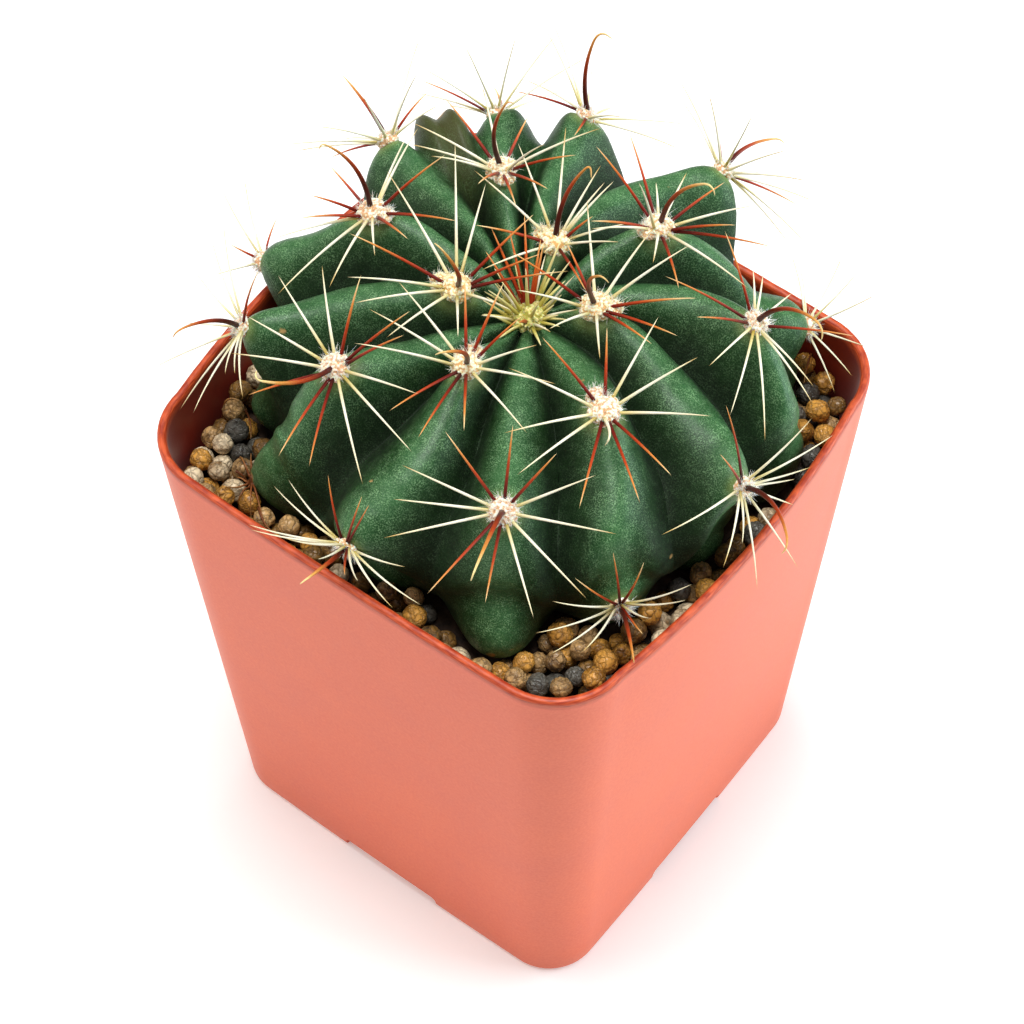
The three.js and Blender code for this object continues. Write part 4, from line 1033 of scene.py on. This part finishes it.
sheet = bed_grid(DUST_STEP)
count = sheet.shape[0]
under = sheet.copy()
under[..., 2] = BED_LOW
grid_faces = []
for i in range(count - 1):
    for j in range(count - 1):
        a = i * count + j
        grid_faces.append((a, a + 1, a + count + 1, a + count))
        lower = a + count * count
        grid_faces.append((lower, lower + count, lower + count + 1, lower + 1))
border = (
    [(0, j) for j in range(count)] + [(i, count - 1) for i in range(1, count)]
    + [(count - 1, j) for j in range(count - 2, -1, -1)] + [(i, 0) for i in range(count - 2, 0, -1)]
)
ids = [i * count + j for i, j in border]
for here, following in zip(ids, ids[1:] + ids[:1]):
    grid_faces.append((following, here, here + count * count, following + count * count))
underlay = make_object(
    "pellet_dust", np.concatenate([sheet.reshape(-1, 3), under.reshape(-1, 3)]), grid_faces, peat,
)
outward(underlay)
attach(underlay, "root")
for piece in pellet_pieces + [underlay]:
    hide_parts("pellet_bed")


# A spine cluster is a star of hard, woody spines that stand in a pad of felted wool, on the
# lobe that grew it. Its spines follow the CAD's; pale ones lie round it, red ones stand among
# them, and a dark hooked one stands in the middle.

# Where the photograph was taken from, and its lens in pixels, to know spines by their tips.
VIEW_POINT = np.array((126.741, -164.705, 351.338))
VIEW_AZIMUTH = math.radians(37.7398)
VIEW_ELEVATION = math.radians(55.2291)
VIEW_ROLL = math.radians(-0.5693)
VIEW_FOCAL = 3000.0
FRAME_MIDDLE = 512.0
TIP_MATCH = 5.0
SPINE_SIDES = 8
SPINE_STEPS = 14
HOOK_STEPS = 12
HOOK_BEND = 1.1
HOOK_BOW = 0.16
HOOK_TIP_STEP = 2.0
TUBE_SEAM = (0.31, 0.52, 0.79)
SPINE_BOW = 0.05
SPINE_SEED = 23
TIP_DEPTHS = np.arange(-6, 14, 0.5)
TIP_CLEAR = 0.35
LEAST_SPINE = 3.0
LONGEST_SPINE = 18.0
WIDEST_RING = 0.8
NEAREST_RING = 0.2
HOOK_JOINTS = 5
PALE_RADIUS = 0.22
RED_RADIUS = 0.25
HOOK_RADIUS = 0.34
# How a spine tapers, as (share, power) of its length, (swelling, length) of its foot, and tip.
SPINE_TAPER = (0.92, 0.62, 0.3, 0.05, 0.04)
HOOK_TAPER = (0.95, 0.5, 0.2, 0.06, 0.03)
FOOT_SHARE = 0.4
FOOT_DEPTH = 0.3
BROADEST_PAD = 2.3
SLIMMER_BY = 0.28

back = np.array((
    math.sin(VIEW_AZIMUTH) * math.cos(VIEW_ELEVATION),
    -math.cos(VIEW_AZIMUTH) * math.cos(VIEW_ELEVATION),
    math.sin(VIEW_ELEVATION),
))
level = np.array((math.cos(VIEW_AZIMUTH), math.sin(VIEW_AZIMUTH), 0.0))
upright = np.cross(back, level)
view_right = math.cos(VIEW_ROLL) * level + math.sin(VIEW_ROLL) * upright
view_up = math.cos(VIEW_ROLL) * upright - math.sin(VIEW_ROLL) * level


def seen_at(point):
    """Where a point shows in the photograph's frame, in pixels."""
    away = np.asarray(point) - VIEW_POINT
    depth = -away @ back
    x = FRAME_MIDDLE + VIEW_FOCAL * (away @ view_right) / depth
    y = FRAME_MIDDLE - VIEW_FOCAL * (away @ view_up) / depth
    return np.array((x, y))


def seen_ray(pixel):
    """The direction in which a pixel of the photograph's frame is seen."""
    right, up = pixel[0] - FRAME_MIDDLE, FRAME_MIDDLE - pixel[1]
    ray = right * view_right + up * view_up - VIEW_FOCAL * back
    return ray / np.linalg.norm(ray)


def bezier(start, control, end, count):
    """A curve from start to end that leans towards a control point."""
    t = np.linspace(0, 1, count)[:, None]
    return start * (1 - t) ** 2 + control * 2 * t * (1 - t) + end * t ** 2


def spine_foot(areole, tip):
    """Where a spine leaves the wool on its way to a tip."""
    run = tip - areole["at"]
    beside = run - areole["out"] * (run @ areole["out"])
    return areole["at"] + FOOT_SHARE * areole["pad"] * beside / np.linalg.norm(beside)


def clear_path(areole, pixel):
    """A spine's path to a tip seen at a pixel, at the first depth that is clear of skin and pot."""
    at, out = areole["at"], areole["out"]
    ray = seen_ray(pixel)
    for closer in TIP_DEPTHS:
        tip = VIEW_POINT + ray * ((at - VIEW_POINT) @ ray - closer)
        foot, reach = spine_foot(areole, tip), np.linalg.norm(tip - at)
        bend = 0.5 * (foot + tip) + SPINE_BOW * reach * out
        path = bezier(foot - FOOT_DEPTH * out, bend, tip, SPINE_STEPS)
        clear = True
        for point in path[SPINE_STEPS // 4:]:
            nearest, normal, _, _ = skin_tree.find_nearest(Vector(point))
            beside_wall = np.abs(point[:2]).max() > pot_half(point[2]) - 2 * WALL
            off_skin = (Vector(point) - nearest).dot(normal) > TIP_CLEAR
            clear = clear and off_skin and (point[2] > POT_HEIGHT + TIP_CLEAR or not beside_wall)
        if clear and reach < LONGEST_SPINE:
            return path
    return None


def welded(node):
    """A CAD mesh's own corners, and which of them share an edge."""
    raw = np.zeros(len(node.data.vertices) * 3)
    node.data.vertices.foreach_get("co", raw)
    corners, index = np.unique(np.round(raw.reshape(-1, 3) / MM, 4), axis=0, return_inverse=True)
    index = index.ravel()
    neighbours = [set() for _ in corners]
    for edge in node.data.edges:
        a, b = (int(index[v]) for v in edge.vertices)
        if a != b:
            neighbours[a].add(b)
            neighbours[b].add(a)
    return corners, neighbours


def traced_spines(node, root):
    """The spines of a CAD cluster as (joints from the root outwards, is hooked)."""
    corners, neighbours = welded(node)
    spines = []
    for tip, ring in enumerate(neighbours):
        if len(ring) != 3 or np.linalg.norm(corners[tip] - root) < LEAST_SPINE:
            continue
        if any(not (ring - {v}) <= neighbours[v] for v in ring):
            continue
        spread = max(np.linalg.norm(corners[a] - corners[b]) for a in ring for b in ring)
        middle = corners[list(ring)].mean(axis=0)
        reach = np.linalg.norm(middle - corners[tip])
        if spread > WIDEST_RING or reach < NEAREST_RING:
            continue
        joints = [corners[tip], middle]
        if reach > HOOK_TIP_STEP:
            spines.append((joints[::-1], False))
            continue
        outer = {tip}
        for _ in range(3):
            inner = set().union(*(neighbours[v] for v in ring)) - ring - outer
            if len(inner) != 3:
                break
            outer, ring = ring, inner
            joints.append(corners[list(ring)].mean(axis=0))
        spines.append((joints[::-1], len(joints) == HOOK_JOINTS))
    return spines


def travelled(path):
    """How far along a path each of its points lies, as a share of its length."""
    lengths = np.concatenate([[0], np.cumsum(np.linalg.norm(np.diff(path, axis=0), axis=1))])
    return lengths / lengths[-1]


def tube(path, radii, sides):
    """Points and faces of a pointed tube along a path, and how far along each point is."""
    path = np.asarray(path, float)
    tangents = np.gradient(path, axis=0)
    tangents /= np.linalg.norm(tangents, axis=1, keepdims=True)
    across = np.cross(tangents[0], TUBE_SEAM)
    points, shares = [], []
    covered = travelled(path)
    for i in range(len(path) - 1):
        across = across - tangents[i] * (across @ tangents[i])
        across /= np.linalg.norm(across)
        beside = np.cross(tangents[i], across)
        for k in range(sides):
            angle = 2 * math.pi * k / sides
            out = across * math.cos(angle) + beside * math.sin(angle)
            points.append(path[i] + radii[i] * out)
        shares += [covered[i]] * sides
    faces = loft_faces(len(path) - 1, sides)
    points += [path[0], path[-1]]
    shares += [0.0, 1.0]
    foot, last = len(points) - 2, sides * (len(path) - 2)
    for k in range(sides):
        following = (k + 1) % sides
        faces.append((foot, following, k))
        faces.append((foot + 1, last + k, last + following))
    return np.array(points), faces, shares


class Bundle:
    """Points and faces gathered for one mesh, each part with its material and its tone."""

    def __init__(self):
        """Starts with nothing."""
        self.points, self.faces, self.slots, self.shares, self.tones = [], [], [], [], []
        self.count = 0

    def add(self, points, faces, slot, shares, tone):
        """Adds one part, with a share for each point and one tone for all."""
        self.points.append(np.asarray(points))
        self.faces += [[v + self.count for v in face] for face in faces]
        self.slots += [slot] * len(faces)
        self.shares.append(np.asarray(shares, float))
        self.tones.append(np.full(len(points), tone))
        self.count += len(points)

    def add_spine(self, path, radius, slot, tone, places=None, taper=SPINE_TAPER):
        """Adds a spine: swollen at the foot, nearly even, then drawn out to a fine point."""
        t = np.linspace(0, 1, len(path)) if places is None else places
        share, power, swelling, foot, tip = taper
        swollen = swelling * np.exp(-(t / foot) ** 2)
        radii = radius * (share * np.maximum(1 - t, 0) ** power + swollen + tip)
        points, faces, shares = tube(path, radii, SPINE_SIDES)
        self.add(points, faces, slot, shares, tone)

    def build(self, name, *materials):
        """Makes the object, with the shares and tones for its materials to read."""
        made = make_object(name, np.concatenate(self.points), self.faces, *materials)
        made.data.polygons.foreach_set("material_index", self.slots)
        set_values(made, "share", np.concatenate(self.shares))
        set_values(made, "tone", np.concatenate(self.tones))
        return made


LEVEL_ENOUGH = 0.05


def plane_axes(out):
    """Directions in the skin's plane at an areole: down the rib, and across it."""
    down = np.array((0, 0, -1.0)) + out * out[2]
    if np.linalg.norm(down) < LEVEL_ENOUGH:
        down = np.array((1.0, 0, 0))
    down /= np.linalg.norm(down)
    return down, np.cross(out, down)


# The materials' places on a cluster, and the wool's own measures: its dome and its tail as
# shares of the pad, and the rest in millimetres or as shares.
WOOL, PALE, RED, HOOK, YOUNG, YOUNG_RED, DRIED = range(7)
PAD_DOME = (0.84, 0.58)
TAIL_DOME = (0.55, 0.32)
TAIL_AT = (-0.85, 0.05)
TAIL_YOUTH = 0.15
DOME_LOW = -0.6
DOME_DETAIL = 5
NUBS_PER_MM = 3.0
NUB_TOP = 1.08
NUB_DEPTH = 0.17
FELT_WAVES_PER_MM = 1.3
FELT_HEIGHT = 0.14
# The hairs are really about a third as thick, and far more.
FIBRES = 300
FIBRE_RADIUS = 0.028
FIBRE_TIP = 0.4
FIBRE_LENGTH = (0.3, 0.75)
FIBRE_STEPS = 5
FIBRE_SIDES = 3
FIBRE_ROOT = 0.96
FIBRE_RISE = 0.15
FIBRE_LEAN = 0.55
FIBRE_CURL = 0.4
FIBRE_HOLLOW = 0.1
dome_points, dome_faces = unit_ball(DOME_DETAIL)
dome_points = np.array(dome_points)


def add_wool(bundle, centre, out, size, youth, draws):
    """A dome of felted wool with loose fibres, and on young areoles a tail up the rib."""
    pad_axes = np.stack([*plane_axes(out), out])
    blobs = [(np.zeros(3), PAD_DOME[0] * size, PAD_DOME[1] * size)]
    if youth > TAIL_YOUTH:
        tail_at = np.array((TAIL_AT[0] * size, 0, TAIL_AT[1]))
        blobs.append((tail_at, TAIL_DOME[0] * size, TAIL_DOME[1] * size))
    for offset, width, height in blobs:
        local = dome_points * (width, width, height)
        # The gaps between the nubs also set the painted shade between them.
        lumps, nub_gap_shades = [], []
        for point in local:
            place = Vector(point) + Vector(centre)
            gap = min(noise.voronoi(place * NUBS_PER_MM)[0][0], 1.0)
            felted = FELT_HEIGHT * noise.noise(place * FELT_WAVES_PER_MM)
            lumps.append(NUB_TOP + felted - NUB_DEPTH * gap)
            nub_gap_shades.append(gap)
        local = local * np.array(lumps)[:, None] + offset
        local[:, 2] = np.maximum(local[:, 2], DOME_LOW)
        bundle.add(local @ pad_axes + centre - FOOT_DEPTH * out, dome_faces, WOOL, nub_gap_shades, youth)
    for _ in range(FIBRES):
        offset, width, height = blobs[int(draws.integers(len(blobs)))]
        way = draws.normal(size=3)
        way[2] = abs(way[2]) + FIBRE_RISE
        way /= np.linalg.norm(way)
        start = way * (width, width, height) * FIBRE_ROOT + offset
        lean = draws.normal(size=3) * FIBRE_LEAN
        length = draws.uniform(*FIBRE_LENGTH)
        middle = start + (way + FIBRE_CURL * lean) * length * 0.5
        end = start + (way + lean) * length
        path = bezier(start, middle, end, FIBRE_STEPS) @ pad_axes + centre - FOOT_DEPTH * out
        radii = np.linspace(FIBRE_RADIUS, FIBRE_RADIUS * FIBRE_TIP, FIBRE_STEPS)
        points, faces, _ = tube(path, radii, FIBRE_SIDES)
        bundle.add(points, faces, WOOL, np.full(len(points), FIBRE_HOLLOW), youth)


# Felted wool: fine dead hairs, matted into nubs and dusty. It is cream with peach and tan
# between the nubs when old, yellow while young and yellow-green in the crown; the darkening
# between the nubs is partly the wool's own tan and partly painted shade. A soft sheen comes
# from the loose ends of the hairs.
wool, shader = new_material("felted_areole_wool", {
    "Roughness": 0.9,
    "Sheen Weight": 0.35,
    "Subsurface Weight": 0.25,
    "Subsurface Scale": 0.0006,
})
FELT_MM = 0.55
spot = add_node(wool, "TexCoord").outputs["Object"]
tone = add_node(wool, "Attribute", attribute_name="tone").outputs["Fac"]
felt = add_node(
    wool, "TexNoise", {"Vector": spot, "Scale": 1 / (FELT_MM * MM), "Detail": 5.0},
)
nub_gap_shade = add_node(wool, "Attribute", attribute_name="share").outputs["Fac"]
# Darker between the nubs: partly the wool's own tan, partly painted shade.
depth = add_node(
    wool, "Math", {0: felt.outputs["Fac"], 1: 0.7, 2: nub_gap_shade}, operation="MULTIPLY_ADD",
)
old, young, newest = (
    add_node(wool, "ValToRGB", {"Fac": depth.outputs["Value"]}, stops=stops)
    for stops in (
        [(0.58, "fffaf0"), (0.84, "f9e3c6"), (1.0, "d8a478")],
        [(0.58, "fff8dc"), (0.84, "f8e4ac"), (1.0, "d8a860")],
        [(0.55, "f5efb4"), (0.8, "e0d47a"), (1.0, "a39a3e")],
    )
)
grown = add_node(
    wool, "Mix", {0: tone, 6: old.outputs["Color"], 7: young.outputs["Color"]}, data_type="RGBA",
)
newness = add_node(wool, "Math", {0: tone, 1: 1.0}, operation="SUBTRACT", use_clamp=True)
tint = add_node(
    wool, "Mix",
    {0: newness.outputs["Value"], 6: grown.outputs[2], 7: newest.outputs["Color"]},
    data_type="RGBA",
)
connect(wool, tint.outputs[2], shader, "Base Color")
relief = add_node(
    wool, "Bump", {"Height": felt.outputs["Fac"], "Strength": 0.7, "Distance": 0.15 * MM},
)
connect(wool, relief.outputs["Normal"], shader, "Normal")

# Spine wood: hard, dense and a little waxy, so it has a soft gloss. The pigment fades towards
# the tip as the spine ages, from wine red or near black at the foot to straw at the point.
SPINE_WOODS = {
    "pale_spine_wood": (
        (0.0, "b39c47"), (0.12, "d9cb8e"), (0.4, "f8f3dd"), (0.85, "f2e6bd"), (1.0, "cba864")),
    "red_spine_wood": (
        (0.0, "3a0a07"), (0.22, "721509"), (0.52, "b33d12"), (0.78, "d98a40"), (1.0, "f1d49a")),
    "hook_spine_wood": (
        (0.0, "2c0805"), (0.3, "541208"), (0.58, "a53a12"), (0.82, "cf8d3e"), (1.0, "efd693")),
    "young_spine_wood": ((0.0, "97902f"), (0.3, "c6ba5a"), (0.7, "e8dc96"), (1.0, "f1e2ac")),
    "young_red_spine_wood": ((0.0, "6a1608"), (0.35, "a6340f"), (0.7, "cf6323"), (1.0, "e9ae66")),
    "dried_spine_wood": ((0.0, "4f2813"), (0.4, "7d4724"), (0.75, "a06d3c"), (1.0, "c49a66")),
}
STREAK_MM = 0.25
woods = []
for name, stops in SPINE_WOODS.items():
    wood, shader = new_material(name, {"IOR": 1.54, "Specular IOR Level": 0.22})
    spot = add_node(wood, "TexCoord").outputs["Object"]
    share = add_node(wood, "Attribute", attribute_name="share").outputs["Fac"]
    tone = add_node(wood, "Attribute", attribute_name="tone").outputs["Fac"]
    streak = add_node(
        wood, "TexNoise", {"Vector": spot, "Scale": 1 / (STREAK_MM * MM), "Detail": 3.0},
    )
    shifted = add_node(
        wood, "Math", {0: streak.outputs["Fac"], 1: 0.16, 2: share}, operation="MULTIPLY_ADD",
    )
    aged = add_node(
        wood, "Math", {0: tone, 1: 0.22, 2: shifted.outputs["Value"]}, operation="MULTIPLY_ADD",
    )
    placed = add_node(
        wood, "Math", {0: aged.outputs["Value"], 1: 0.19}, operation="SUBTRACT", use_clamp=True,
    )
    tint = add_node(wood, "ValToRGB", {"Fac": placed.outputs["Value"]}, stops=stops)
    connect(wood, tint.outputs["Color"], shader, "Base Color")
    gloss = add_node(
        wood, "MapRange", {"Value": streak.outputs["Fac"], "To Min": 0.32, "To Max": 0.5},
    )
    connect(wood, gloss.outputs["Result"], shader, "Roughness")
    relief = add_node(
        wood, "Bump", {"Height": streak.outputs["Fac"], "Strength": 0.25, "Distance": 0.02 * MM},
    )
    connect(wood, relief.outputs["Normal"], shader, "Normal")
    woods.append(wood)

# More spines of the crowded clusters, by their tips in the photograph's frame.
CLOSE_TIPS = {
    10: ((707, 182, RED), (809, 247, PALE), (791, 247, PALE)),
    11: ((513, 91, RED), (574, 136, RED), (525, 80, PALE)),
    21: ((369, 505, RED), (362, 496, RED), (328, 475, RED), (273, 485, PALE), (288, 479, PALE),
         (406, 567, PALE)),
}

draws = np.random.default_rng(SPINE_SEED)
for number, areole in enumerate(areoles, start=1):
    node_name = f"spine_cluster_{number:02d}"
    at, out, pad = areole["at"], areole["out"], areole["pad"]
    slimness = 1 - SLIMMER_BY * (BROADEST_PAD - pad)
    radii = {PALE: slimness * PALE_RADIUS, RED: slimness * RED_RADIUS}
    bundle = Bundle()
    add_wool(bundle, at, out, pad, areole["youth"], draws)
    for joints, hooked in traced_spines(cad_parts[node_name], at):
        middle, tip = joints[0], joints[-1]
        if hooked:
            end = joints[1]
            run = (end - middle) / np.linalg.norm(end - middle)
            aside = (tip - end) - run * ((tip - end) @ run)
            aside *= HOOK_BOW * np.linalg.norm(end - at) / np.linalg.norm(aside)
            control = 2 * middle - 0.5 * (at + end) - aside
            shaft = bezier(at, control, end, SPINE_STEPS)
            run = (end - control) / np.linalg.norm(end - control)
            curl = bezier(end, end + run * HOOK_BEND * np.linalg.norm(end - tip), tip, HOOK_STEPS)
            path = np.concatenate([shaft, curl[1:]])
            bundle.add_spine(path, HOOK_RADIUS, HOOK, draws.random(), travelled(path), HOOK_TAPER)
            continue
        foot = spine_foot(areole, tip)
        bend = 2 * middle - 0.5 * (foot + tip)
        path = bezier(foot - FOOT_DEPTH * out, bend, tip, SPINE_STEPS)
        gaps = [np.linalg.norm(seen_at(tip) - pixel) for pixel in areole["red"]]
        slot = RED if gaps and min(gaps) < TIP_MATCH else PALE
        bundle.add_spine(path, radii[slot], slot, draws.random())
    for x, y, slot in CLOSE_TIPS.get(number, ()):
        path = clear_path(areole, (x, y))
        if path is None:
            print("no room for a spine of cluster", number, (x, y))
            continue
        bundle.add_spine(path, radii[slot], slot, draws.random())
    star = bundle.build(f"spine_star_{number:02d}", wool, *woods)
    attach(star, "root")
    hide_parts(node_name)


# The crown is the growing point: a patch of yellow-green wool that hides the newest areoles,
# with soft young spines standing up out of it.
GOLDEN_ANGLE = math.radians(137.5)
CROWN_PAD = 2.7
CROWN_LIFT = 0.6
CROWN_YOUTH = 2.0
CROWN_RADIUS = 0.28
CROWN_BOW = 0.05
CROWN_FOOT = 0.18
# Young spines, as their kind, how many there are, how far they lean in degrees, their lengths,
# their distances from the middle, and their radius.
CROWN_SPINES = (
    (YOUNG, 24, (28, 72), (2.4, 5.2), (1.3, 2.4), 0.25),
    (PALE, 6, (30, 60), (4.5, 6.5), (1.0, 2.0), 0.2),
)
# Long red spines that lean back over the crown, as (azimuth, lean, length).
LEANING = ((130, 47, 11.2), (158, 48, 10.6), (112, 36, 8.8), (146, 40, 9.6))
crown_at = np.array((PLANT_X, PLANT_Y, CREST[0][1] + CROWN_LIFT))
crown_out = np.array((0.0, 0.0, 1.0))
bundle = Bundle()
add_wool(bundle, crown_at, crown_out, CROWN_PAD, CROWN_YOUTH, draws)


def add_crown_spine(azimuth, lean, length, from_middle, radius, kind):
    """Adds one spine that stands in the crown's wool and bows a little upwards."""
    away = np.array((math.cos(azimuth), math.sin(azimuth), 0))
    foot = crown_at + away * from_middle
    tip = foot + length * (away * math.sin(lean) + crown_out * math.cos(lean))
    path = bezier(foot, (foot + tip) / 2 + CROWN_BOW * length * crown_out, tip, SPINE_STEPS)
    bundle.add_spine(path, radius, kind, draws.random())


for i, (joints, _) in enumerate(traced_spines(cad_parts["crown_tuft"], crown_at)):
    middle, tip = joints[0], joints[-1]
    lean = tip - crown_at
    foot = crown_at + CROWN_FOOT * np.array((lean[0], lean[1], 0))
    path = bezier(foot, 2 * middle - 0.5 * (foot + tip), tip, SPINE_STEPS)
    kind = YOUNG_RED if i % 3 == 0 else YOUNG
    bundle.add_spine(path, CROWN_RADIUS, kind, draws.random())
for kind, spine_count, leans, lengths, distances, radius in CROWN_SPINES:
    for i in range(spine_count):
        add_crown_spine(
            i * GOLDEN_ANGLE + kind, math.radians(draws.uniform(*leans)), draws.uniform(*lengths),
            draws.uniform(*distances), radius, kind,
        )
for azimuth, lean, length in LEANING:
    add_crown_spine(
        math.radians(azimuth), math.radians(lean), length, CROWN_RADIUS, CROWN_RADIUS, YOUNG_RED,
    )
crown = bundle.build("crown_wool_and_spines", wool, *woods)
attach(crown, "root")
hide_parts("crown_tuft")


# Old spines that have died and dropped: brown, dry and brittle. A last tuft still hangs on the
# tip of one foot lobe; the rest lie loose over the pellets, each on the ones that it touches.
SHED_RADIUS = 0.16
SHED_STEPS = 30
TUFT_FOOT = (11, 0.0, 9.7)
TUFT_TIPS = ((250, 446), (238, 452), (232, 470), (224, 493), (237, 500), (250, 512), (264, 522))
# Loose ones: where each starts, bends and ends in the photograph's frame.
SHED_SPINES = (
    ((258, 505), (262, 530), (284, 538)), ((243, 398), (252, 412), (249, 428)),
    ((236, 470), (246, 476), (262, 470)), ((246, 512), (240, 524), (250, 534)),
    ((218, 402), (229, 396), (240, 402)), ((812, 352), (806, 366), (804, 384)),
)


def bed_point(pixel):
    """The point at the top of the bed that shows at a pixel of the photograph's frame."""
    ray = seen_ray(pixel)
    return VIEW_POINT + ray * (BED_LIMIT - VIEW_POINT[2]) / ray[2]


def bed_top(point):
    """How high the pellets reach at a point."""
    gaps = np.linalg.norm(lying[:, :2] - point[:2], axis=1)
    heights = lying[:, 2] + np.sqrt(np.maximum(lying[:, 3] ** 2 - gaps ** 2, 0))
    return max(BED_FLOOR, heights[gaps < lying[:, 3]].max(initial=0))


def lie_down(path):
    """Sets a stiff spine down on the bed, so that it spans the gaps between pellets."""
    shares = np.linspace(0, 1, len(path))
    resting = []
    for share, point in zip(shares, path):
        top = bed_top(point) + SHED_RADIUS
        while len(resting) > 1:
            (first, first_top), (last, last_top) = resting[-2:]
            if last_top > first_top + (top - first_top) * (last - first) / (share - first):
                break
            resting.pop()
        resting.append((share, top))
    path[:, 2] = np.interp(shares, *zip(*resting))


bundle = Bundle()
tuft_foot = skin(*TUFT_FOOT)
for pixel in TUFT_TIPS:
    path = bezier(tuft_foot, 0.5 * (tuft_foot + bed_point(pixel)), bed_point(pixel), SHED_STEPS)
    lie_down(path)
    drop = np.linspace(1, 0, SHED_STEPS) ** 2
    path[:, 2] = np.maximum(path[:, 2], tuft_foot[2] * drop + path[:, 2] * (1 - drop))
    bundle.add_spine(path, SHED_RADIUS, DRIED, draws.random())
for start, bend, end in SHED_SPINES:
    path = bezier(bed_point(start), bed_point(bend), bed_point(end), SHED_STEPS)
    lie_down(path)
    bundle.add_spine(path, SHED_RADIUS, DRIED, draws.random())
shed = bundle.build("shed_spines", wool, *woods)
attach(shed, "root")


# The floor is a plain sheet of white acrylic lit softly from below, under broad soft lamps in
# a white room. Cast acrylic with a fine satin back is even and nearly white, with a faint haze.
acrylic, shader = new_material("backlit_white_acrylic", {
    "Roughness": 0.8,
    "Emission Color": (1, 1, 1, 1),
    "Emission Strength": 0.2,
})
FLOOR_HALF = 1500.0
HAZE_MM = 1.1
ROOM_LIGHT = 0.29
spot = add_node(acrylic, "TexCoord").outputs["Object"]
haze = add_node(
    acrylic, "TexNoise", {"Vector": spot, "Scale": 1 / (HAZE_MM * MM), "Detail": 3.0},
)
tint = add_node(
    acrylic, "ValToRGB", {"Fac": haze.outputs["Fac"]}, stops=[(0.3, "f6f6f5"), (0.7, "fafaf9")],
)
connect(acrylic, tint.outputs["Color"], shader, "Base Color")
floor_corners = [
    (x * FLOOR_HALF, y * FLOOR_HALF, 0) for x, y in ((-1, -1), (1, -1), (1, 1), (-1, 1))
]
floor = make_object("acrylic_floor", floor_corners, [(0, 1, 2, 3)], acrylic)

world = bpy.data.worlds.new("white_room")
world.use_nodes = True
background = world.node_tree.nodes["Background"]
background.inputs["Color"].default_value = (1, 1, 1, 1)
background.inputs["Strength"].default_value = ROOM_LIGHT
bpy.context.scene.world = world

# Each lamp has its name, place and size in millimetres, power in watts, and tint. All face the
# plant.
LAMPS = (
    ("overhead_softbox", (-30, 10, 700), 280, 4.1, (1.0, 1.0, 1.0)),
    ("right_softbox", (500, 400, 300), 460, 4.1, (0.8, 0.94, 1.0)),
    ("left_softbox", (-430, -330, 400), 460, 1.2, (1.0, 0.94, 0.86)),
)
LAMP_AIM = (0, 0, 60)
target = Vector(LAMP_AIM) * MM
for name, place, size, power, light_tint in LAMPS:
    lamp = bpy.data.lights.new(name, "AREA")
    lamp.shape = "SQUARE"
    lamp.size = size * MM
    lamp.energy = power
    lamp.color = light_tint
    holder = bpy.data.objects.new(name, lamp)
    holder.location = Vector(place) * MM
    holder.rotation_euler = (target - holder.location).to_track_quat("-Z", "Y").to_euler()
    bpy.context.scene.collection.objects.link(holder)

# The camera stands where the photograph was taken from.
SENSOR_WIDTH = 36.0
CLIP_START = 10.0
camera_data = bpy.data.cameras.new("camera")
camera_data.sensor_width = SENSOR_WIDTH
camera_data.lens = VIEW_FOCAL * SENSOR_WIDTH / (2 * FRAME_MIDDLE)
camera_data.clip_start = CLIP_START * MM
camera = bpy.data.objects.new("camera", camera_data)
axes = Matrix([[*row] for row in np.stack([view_right, view_up, back], axis=1)]).to_4x4()
camera.matrix_world = Matrix.Translation(Vector(VIEW_POINT) * MM) @ axes
bpy.context.scene.collection.objects.link(camera)
bpy.context.scene.camera = camera
bpy.context.scene.view_settings.view_transform = "Standard"

bpy.context.view_layer.update()
